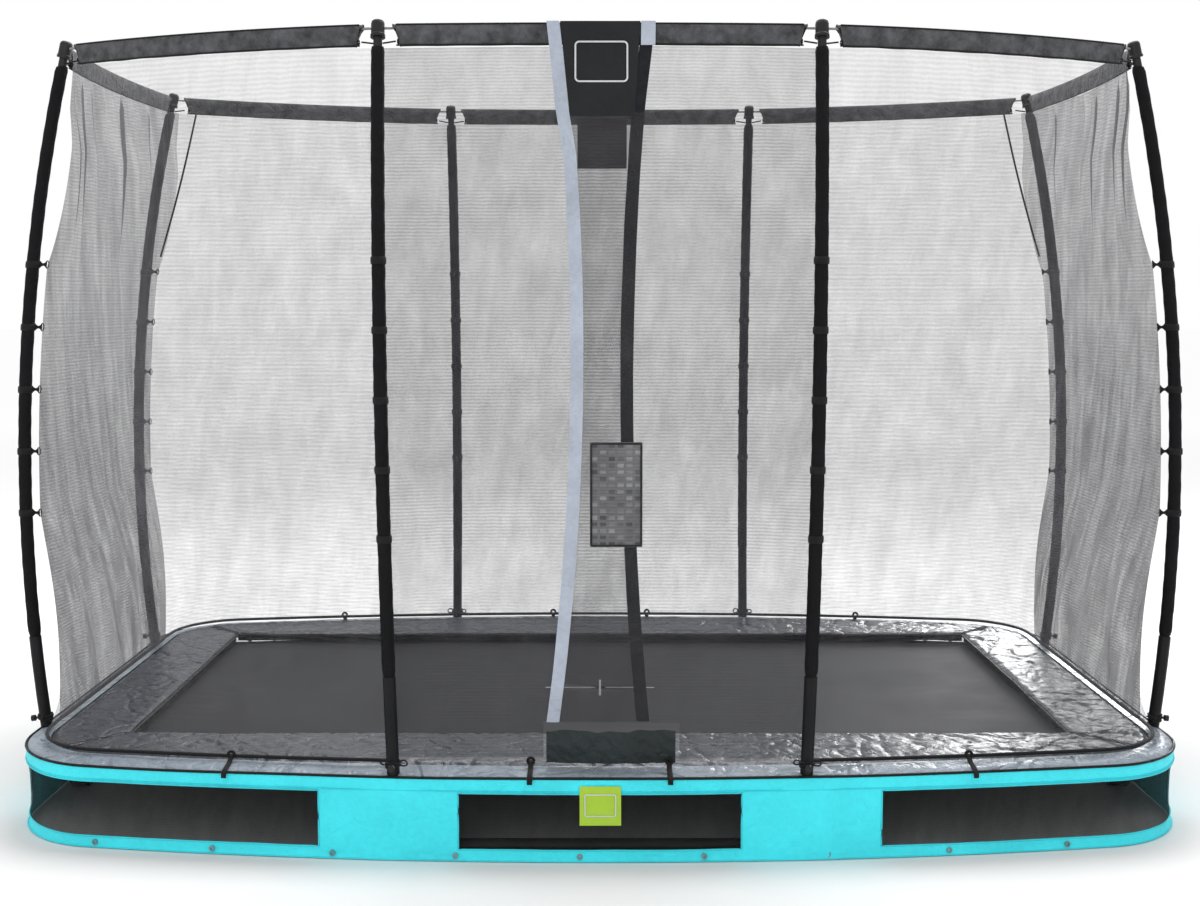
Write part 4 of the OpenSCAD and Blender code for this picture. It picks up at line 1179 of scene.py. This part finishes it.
def around(s, scale, seed):
    """Noise round the loop that meets itself at the start."""
    a = 2 * math.pi * s / TOTAL
    r = scale * TOTAL / (2 * math.pi)
    return noise.noise((r * math.cos(a), r * math.sin(a), seed))


def strip_wave(s, inset, z):
    body = smooth((inset - 0.008) / 0.015) * smooth((0.080 - inset) / 0.01)
    return 0.0, (0.0045 * around(s, 6, inset * 30) + 0.002 * around(s, 22, inset * 60)) * body


strip_levels = [(0.006, 0.2535), (0.010, 0.257), (0.018, 0.2605), (0.030, 0.2625), (0.042, 0.264),
                (0.054, 0.2655), (0.066, 0.2665), (0.076, 0.2675)]
grid, uvs = ring_sheet(strip_levels, strip_wave)
strip = Build().grid(grid, uvs, close=True).make("edge_strip_cover", M["strip"], "root", "edge_vinyl")
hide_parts("pad_edge_strips")

piping_path = []
for k, (p, d) in enumerate(base_loop):
    s = arc_len[k]
    out = -0.001 + 0.0015 * around(s, 3, 5.5)
    piping_path.append((p[0] + d[0] * out, p[1] + d[1] * out, 0.2530 + 0.0022 * around(s, 2.2, 8.8)))
pipe = Build().tube(piping_path, 0.0042, 10, closed=True).make("piping_cord", M["piping"], "root", "piping")
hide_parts("pad_piping")


def span_of(x):
    """The arc length along the front where the outline's angle is that of x."""
    return LONG_R * math.asin(x / LONG_R)


FRONT_END = LONG_R * BLEND_A
CORNER_LEN = CORNER_R * (math.pi / 2 - BLEND_A)
QUARTER = FRONT_END + CORNER_LEN + CORNER_Y


def quarter_arc(s):
    """The arc length folded back into the first quarter. The pattern is the same in each one."""
    q = s % (2 * QUARTER)
    return q if q <= QUARTER else 2 * QUARTER - q


CORNER_SHARE = (math.radians(WINDOW_END_DEG) - BLEND_A) / (math.pi / 2 - BLEND_A)


def in_pattern(s):
    """Whether an arc length falls in a window."""
    q = quarter_arc(s)
    corner_window = span_of(WINDOW_START) < q < FRONT_END + CORNER_LEN * CORNER_SHARE
    return q < span_of(WINDOW_HALF) or corner_window or q > QUARTER - SIDE_WINDOW


def near_pole(s):
    """1 where a pole's socket stands behind the skirt, 0 from 0.12 m away."""
    q = quarter_arc(s)
    gap = min(abs(q - span_of(FRONT_POLE_X - 0.010)), abs(q - (QUARTER - SIDE_POLE_Y)))
    return 1 - smooth((gap - 0.05) / 0.07)


def skirt_wave(s, inset, z):
    free = smooth((SKIRT_TOP - z) / 0.05) * smooth(z / 0.012)
    n = -0.0035 + 0.0050 * around(s, 3.5, 1.0 + z * 3) + 0.0026 * around(s, 11, 4 + z * 6)
    n = lerp(n, max(n, 0.0015), near_pole(s))
    return n * free - 0.001 * (1 - near_pole(s)), 0.0


inside = {k for k in range(len(base_loop)) if in_pattern(arc_len[k] + 1e-6)}
levels = [(0.010, 0.2520), (0.003, 0.2515), (0.0, 0.248)] + [(0.0, z) for z in (
    0.240, 0.2325, 0.226, 0.219, 0.213, WINDOW_Z[1], 0.19, 0.165, 0.14, 0.115, 0.09, 0.065, WINDOW_Z[0],
    0.034, 0.027, 0.020, 0.013, 0.006, 0.0015)]
grid, uvs = ring_sheet(levels, skirt_wave)
count = len(base_loop)


def in_window(r, c):
    return levels[r][1] <= WINDOW_Z[1] + 1e-6 and levels[r + 1][1] >= WINDOW_Z[0] - 1e-6 \
        and c in inside and (c + 1) % count in inside


wall = Build().grid(grid, uvs, skip=in_window, close=True)
skirt = wall.make("skirt_wall", M["skirt"], "root", "skirt_fabric")
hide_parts("skirt_front", "skirt_back", "skirt_ends")
mesh_build, bind_build = Build(), Build()
top_r = next(r for r, l in enumerate(levels) if abs(l[1] - WINDOW_Z[1]) < 1e-6)
low_r = next(r for r, l in enumerate(levels) if abs(l[1] - WINDOW_Z[0]) < 1e-6)
runs, run = [], []
start = next(k for k in range(count) if k not in inside)
for j in range(count + 1):
    k = (start + j) % count
    if k in inside and j < count:
        run.append(k)
    elif run:
        runs.append(run)
        run = []
for run in runs:
    rows = []
    for r in range(top_r, low_r + 1):
        row = []
        for k in run:
            x, y, z = grid[r][k]
            d = base_loop[k][1]
            sink = 0.002 + 0.004 * smooth(min(z - WINDOW_Z[0], WINDOW_Z[1] - z) / 0.05)
            row.append((x - d[0] * sink, y - d[1] * sink, z))
        rows.append(row)
    mesh_build.grid(rows)
    rim = [grid[top_r][k] for k in run]
    rim += [grid[r][run[-1]] for r in range(top_r + 1, low_r + 1)]
    rim += [grid[low_r][k] for k in reversed(run[:-1])]
    rim += [grid[r][run[0]] for r in range(low_r - 1, top_r, -1)]
    bind_build.tube(rim, 0.0028, 6, closed=True)
windows = mesh_build.make("window_cloth", WINDOW, "root", "window_mesh")
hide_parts("skirt_windows")
binding = bind_build.make("window_binding", M["trim"], "root", "skirt_fabric")
hem_build = Build()
hem_build.tube([(x, y, z + 0.002) for x, y, z in grid[-1]], 0.0026, 6, closed=True)
hem_build.tube([(p[0], p[1], 0.2135) for p, d in base_loop], 0.0014, 5, closed=True)
hem_build.make("skirt_hem", M["trim"], "root", "skirt_fabric")

tag = panel("tag_cloth", [(-0.060, 0.114), (0.062, 0.114), (0.062, 0.232), (-0.060, 0.232)],
            lambda z: -OUTLINE_W / 2 - 0.0025, M["tag"], "tag_fabric", bow=0.0008)
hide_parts("skirt_tag")
frame_strip("tag_line", 0.001, 0.175, 0.047, 0.034, 0.008, 0.0035, lambda z: -OUTLINE_W / 2 - 0.0015,
            M["print"], "light_webbing")

# Straps that pull the net's foot and the pads down over the edge.
straps = Build()
for sx in (-1, 1):
    for sy in (-1, 1):
        for x in (0.207, 1.120):
            a = math.asin(x / LONG_R)
            p, d = long_pt(0, a), (math.sin(a), -math.cos(a))
            path = []
            for inset, z in ((0.074, PAD_TOP + 0.010), (0.064, PAD_TOP + 0.011), (0.052, PAD_TOP + 0.002),
                             (0.040, 0.2685), (0.024, 0.2655), (0.010, 0.2610), (0.000, 0.2580),
                             (-0.0075, 0.250), (-0.0085, 0.238)):
                path.append((sx * (p[0] - d[0] * inset), sy * (p[1] - d[1] * inset), z))
            straps.tube(path, 0.0025, 8, flat=3.2)
            cx, cy = sx * (p[0] - d[0] * 0.058), sy * (p[1] - d[1] * 0.058)
            for size in (0.011, 0.008):
                straps.tube([(cx + size * math.cos(w), cy, PAD_TOP + 0.014 + size * math.sin(w))
                             for w in circle(14)], 0.0032, 6, closed=True)
strap_obj = straps.make("foot_straps", M["strap"], "root", "black_strap")
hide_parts("net_ties")

# ---------- Mat, webbing and springs ----------
mat_loop = outline_loop(MAT_INSET, 0.03)
rings = [[(p[0] * k, p[1] * k, MAT_Z - 0.0005 - 0.004 * (1 - k ** 2)) for p, d in mat_loop]
         for k in (1.0, 0.985, 0.96, 0.9, 0.8, 0.7, 0.6, 0.5, 0.4, 0.3, 0.2, 0.1, 0.02)]
mat_build = Build().grid(rings, [[(x, y) for x, y, z in r] for r in rings], close=True, flip=True)
m = len(mat_loop)
mat_build.faces.append(tuple((len(rings) - 1) * m + k for k in range(m)))
mat_obj = mat_build.make("mat_cloth", M["mat"], "mat", "mat_fabric")
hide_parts("mat")

web = Build()
web_rows = []
for inset, z in ((0.0, MAT_Z + 0.0005), (0.0, MAT_Z - 0.004), (0.038, MAT_Z - 0.004)):
    web_rows.append([inward(p, d, inset, z) for p, d in mat_loop])
web.grid(web_rows, close=True)
for inset in (0.006, 0.034):
    web.tube([inward(p, d, inset, MAT_Z + 0.0003) for p, d in mat_loop], 0.0011, 5, closed=True)
web_obj = web.make("webbing_cloth", M["strap"], "mat", "black_strap")
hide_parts("mat_webbing")

# Light marks at the middle of the mat: an upright bar and a bar at each side of it.
marks = Build()
LINE = 0.0035
for x0, x1, y0, y1 in ((-LINE, LINE, -0.11, 0.11), (-0.20, -0.02, -LINE, LINE), (0.02, 0.20, -LINE, LINE)):
    marks.grid([[(lerp(x0, x1, u / 6), lerp(y0, y1, v / 12), MAT_Z - 0.0038) for u in range(7)]
                for v in range(13)],
               [[(u * 0.01, v * 0.01) for u in range(7)] for v in range(13)])
marks.make("mat_marks", M["print"], "mat", "light_webbing")

LONG_SPRINGS, END_SPRINGS, CORNER_SPRINGS = 30, 13, 3
COIL_OUT, COIL_IN, SPRING_R = 0.066 + 0.021 + 0.024, MAT_INSET - 0.035, 0.0102
SPRING_Z = MAT_Z - 0.002
groups = {}
for i in range(LONG_SPRINGS):
    a = lerp(-BLEND_A, BLEND_A, (i + 0.5) / LONG_SPRINGS)
    groups.setdefault("front", []).append((long_pt(0, a), (math.sin(a), -math.cos(a))))
for i in range(END_SPRINGS):
    y = lerp(-CORNER_Y, CORNER_Y, (i + 0.5) / END_SPRINGS)
    groups.setdefault("right", []).append(((OUTLINE_L / 2, y), (1, 0)))
for i in range(CORNER_SPRINGS):
    a = lerp(BLEND_A, math.pi / 2, (i + 0.5) / CORNER_SPRINGS)
    groups.setdefault("front_right", []).append((corner_pt(0, a), (math.sin(a), -math.cos(a))))
groups["back"] = mirror(groups["front"], 1, -1)
groups["left"] = mirror(groups["right"], -1, 1)
groups["front_left"] = mirror(groups["front_right"], -1, 1)
groups["back_right"] = mirror(groups["front_right"], 1, -1)
groups["back_left"] = mirror(groups["front_right"], -1, -1)
WHERE = {"front": (0, -1), "back": (0, 1), "right": (1, 0), "left": (-1, 0),
         "front_right": (0.766, -0.643), "front_left": (-0.766, -0.643),
         "back_right": (0.766, 0.643), "back_left": (-0.766, 0.643)}
TURNS, PER_TURN = 22, 10


def spring_path(p, d):
    side = (-d[1], d[0])
    path = []

    def put(inset, across, up):
        path.append((p[0] - d[0] * inset + side[0] * across,
                     p[1] - d[1] * inset + side[1] * across, SPRING_Z + up))

    for k in range(7):
        a = math.pi * (1 - k / 6)
        put(COIL_OUT - 0.017 + 0.008 * math.cos(a) - 0.004, 0, -0.008 * math.sin(a))
    put(COIL_OUT - 0.006, 0.0, 0)
    steps = TURNS * PER_TURN
    for k in range(steps + 1):
        t = k / steps
        a = 2 * math.pi * TURNS * t
        r = SPRING_R * min(1, 0.25 + 6 * min(t, 1 - t))
        put(lerp(COIL_OUT, COIL_IN, t), r * math.cos(a), r * math.sin(a))
    put(COIL_IN + 0.005, 0, 0)
    for k in range(1, 7):
        a = math.pi * k / 6
        put(COIL_IN + 0.011 - 0.006 * math.cos(a), 0, -0.006 * math.sin(a))
    return path


for group, places in groups.items():
    coils = Build()
    for p, d in places:
        coils.tube(spring_path(p, d), 0.0016, 5)
    obj = coils.make(f"springs_{group}", M["spring"], None, "spring_steel")
    w = Vector((*WHERE[group], 0))
    if group in ("front", "back"):
        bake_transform(obj)
    else:
        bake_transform(obj)
    if group == "front":
        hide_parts("springs")

vrings = Build()
for places in groups.values():
    for p, d in places:
        side = (-d[1], d[0])
        tri = []
        for inset, across in ((MAT_INSET - 0.014, 0.0), (MAT_INSET + 0.010, 0.016),
                              (MAT_INSET + 0.010, -0.016)):
            tri.append((p[0] - d[0] * inset + side[0] * across,
                        p[1] - d[1] * inset + side[1] * across, MAT_Z - 0.0068))
        path = []
        for k in range(3):
            a, b = Vector(tri[k]), Vector(tri[(k + 1) % 3])
            path += [tuple(a.lerp(b, t)) for t in (0.12, 0.5, 0.88)]
        vrings.tube(path, 0.0017, 6, closed=True)
ring_obj = vrings.make("mat_hook_rings", M["zinc"], "mat", "spring_steel")
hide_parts("mat_rings")


# ---------- Floor and light ----------
def plane(name, size, z, material):
    s = size / 2
    mesh = bpy.data.meshes.new(name)
    mesh.from_pydata([(-s, -s, z), (s, -s, z), (s, s, z), (-s, s, z)], [], [(0, 1, 2, 3)])
    obj = bpy.data.objects.new(name, mesh)
    scene.collection.objects.link(obj)
    obj.data.materials.append(material)


floor_mat = Nodes("studio_floor", rough=0.95, spec=0.0)
reach = floor_mat.add("ShaderNodeVectorMath", operation="LENGTH")
floor_mat.link(floor_mat.coords(), reach.inputs[0])
floor_mat.color(floor_mat.ramp(floor_mat.remap(reach.outputs["Value"], 0.0, 1.0, 3.0, 16.0),
                               [(tone_at, (tone, tone, tone)) for tone_at, tone in
                                ((0.0, 0.74), (0.4, 0.86), (1.0, 0.98))]))
plane("floor", 160, -0.0005, floor_mat.mat)

world = bpy.data.worlds.new("studio")
world.use_nodes = True
world.node_tree.nodes["Background"].inputs["Color"].default_value = (1, 1, 1, 1)
world.node_tree.nodes["Background"].inputs["Strength"].default_value = 1.0
scene.world = world


def area_light(name, place, target, size, power):
    data = bpy.data.lights.new(name, "AREA")
    data.shape = "RECTANGLE"
    data.size, data.size_y = size
    data.energy = power
    obj = bpy.data.objects.new(name, data)
    scene.collection.objects.link(obj)
    obj.location = place
    obj.rotation_euler = (Vector(target) - Vector(place)).to_track_quat("-Z", "Y").to_euler()
    return obj


area_light("overhead", (0.4, 1.6, 6.0), (0, 0, 0), (6, 4), 440)
area_light("front", (-1.5, -7.5, 3.2), (0, 0, 0.8), (5, 3), 70)
window_light = area_light("window", (4.3, 7.6, 2.6), (1.7, 0.0, 0.3), (2.4, 3.0), 380)
# It shows only in glossy reflections, and is there for the sheen on the right pad.
window_light.visible_camera = False
window_light.visible_diffuse = False
window_light.visible_transmission = False
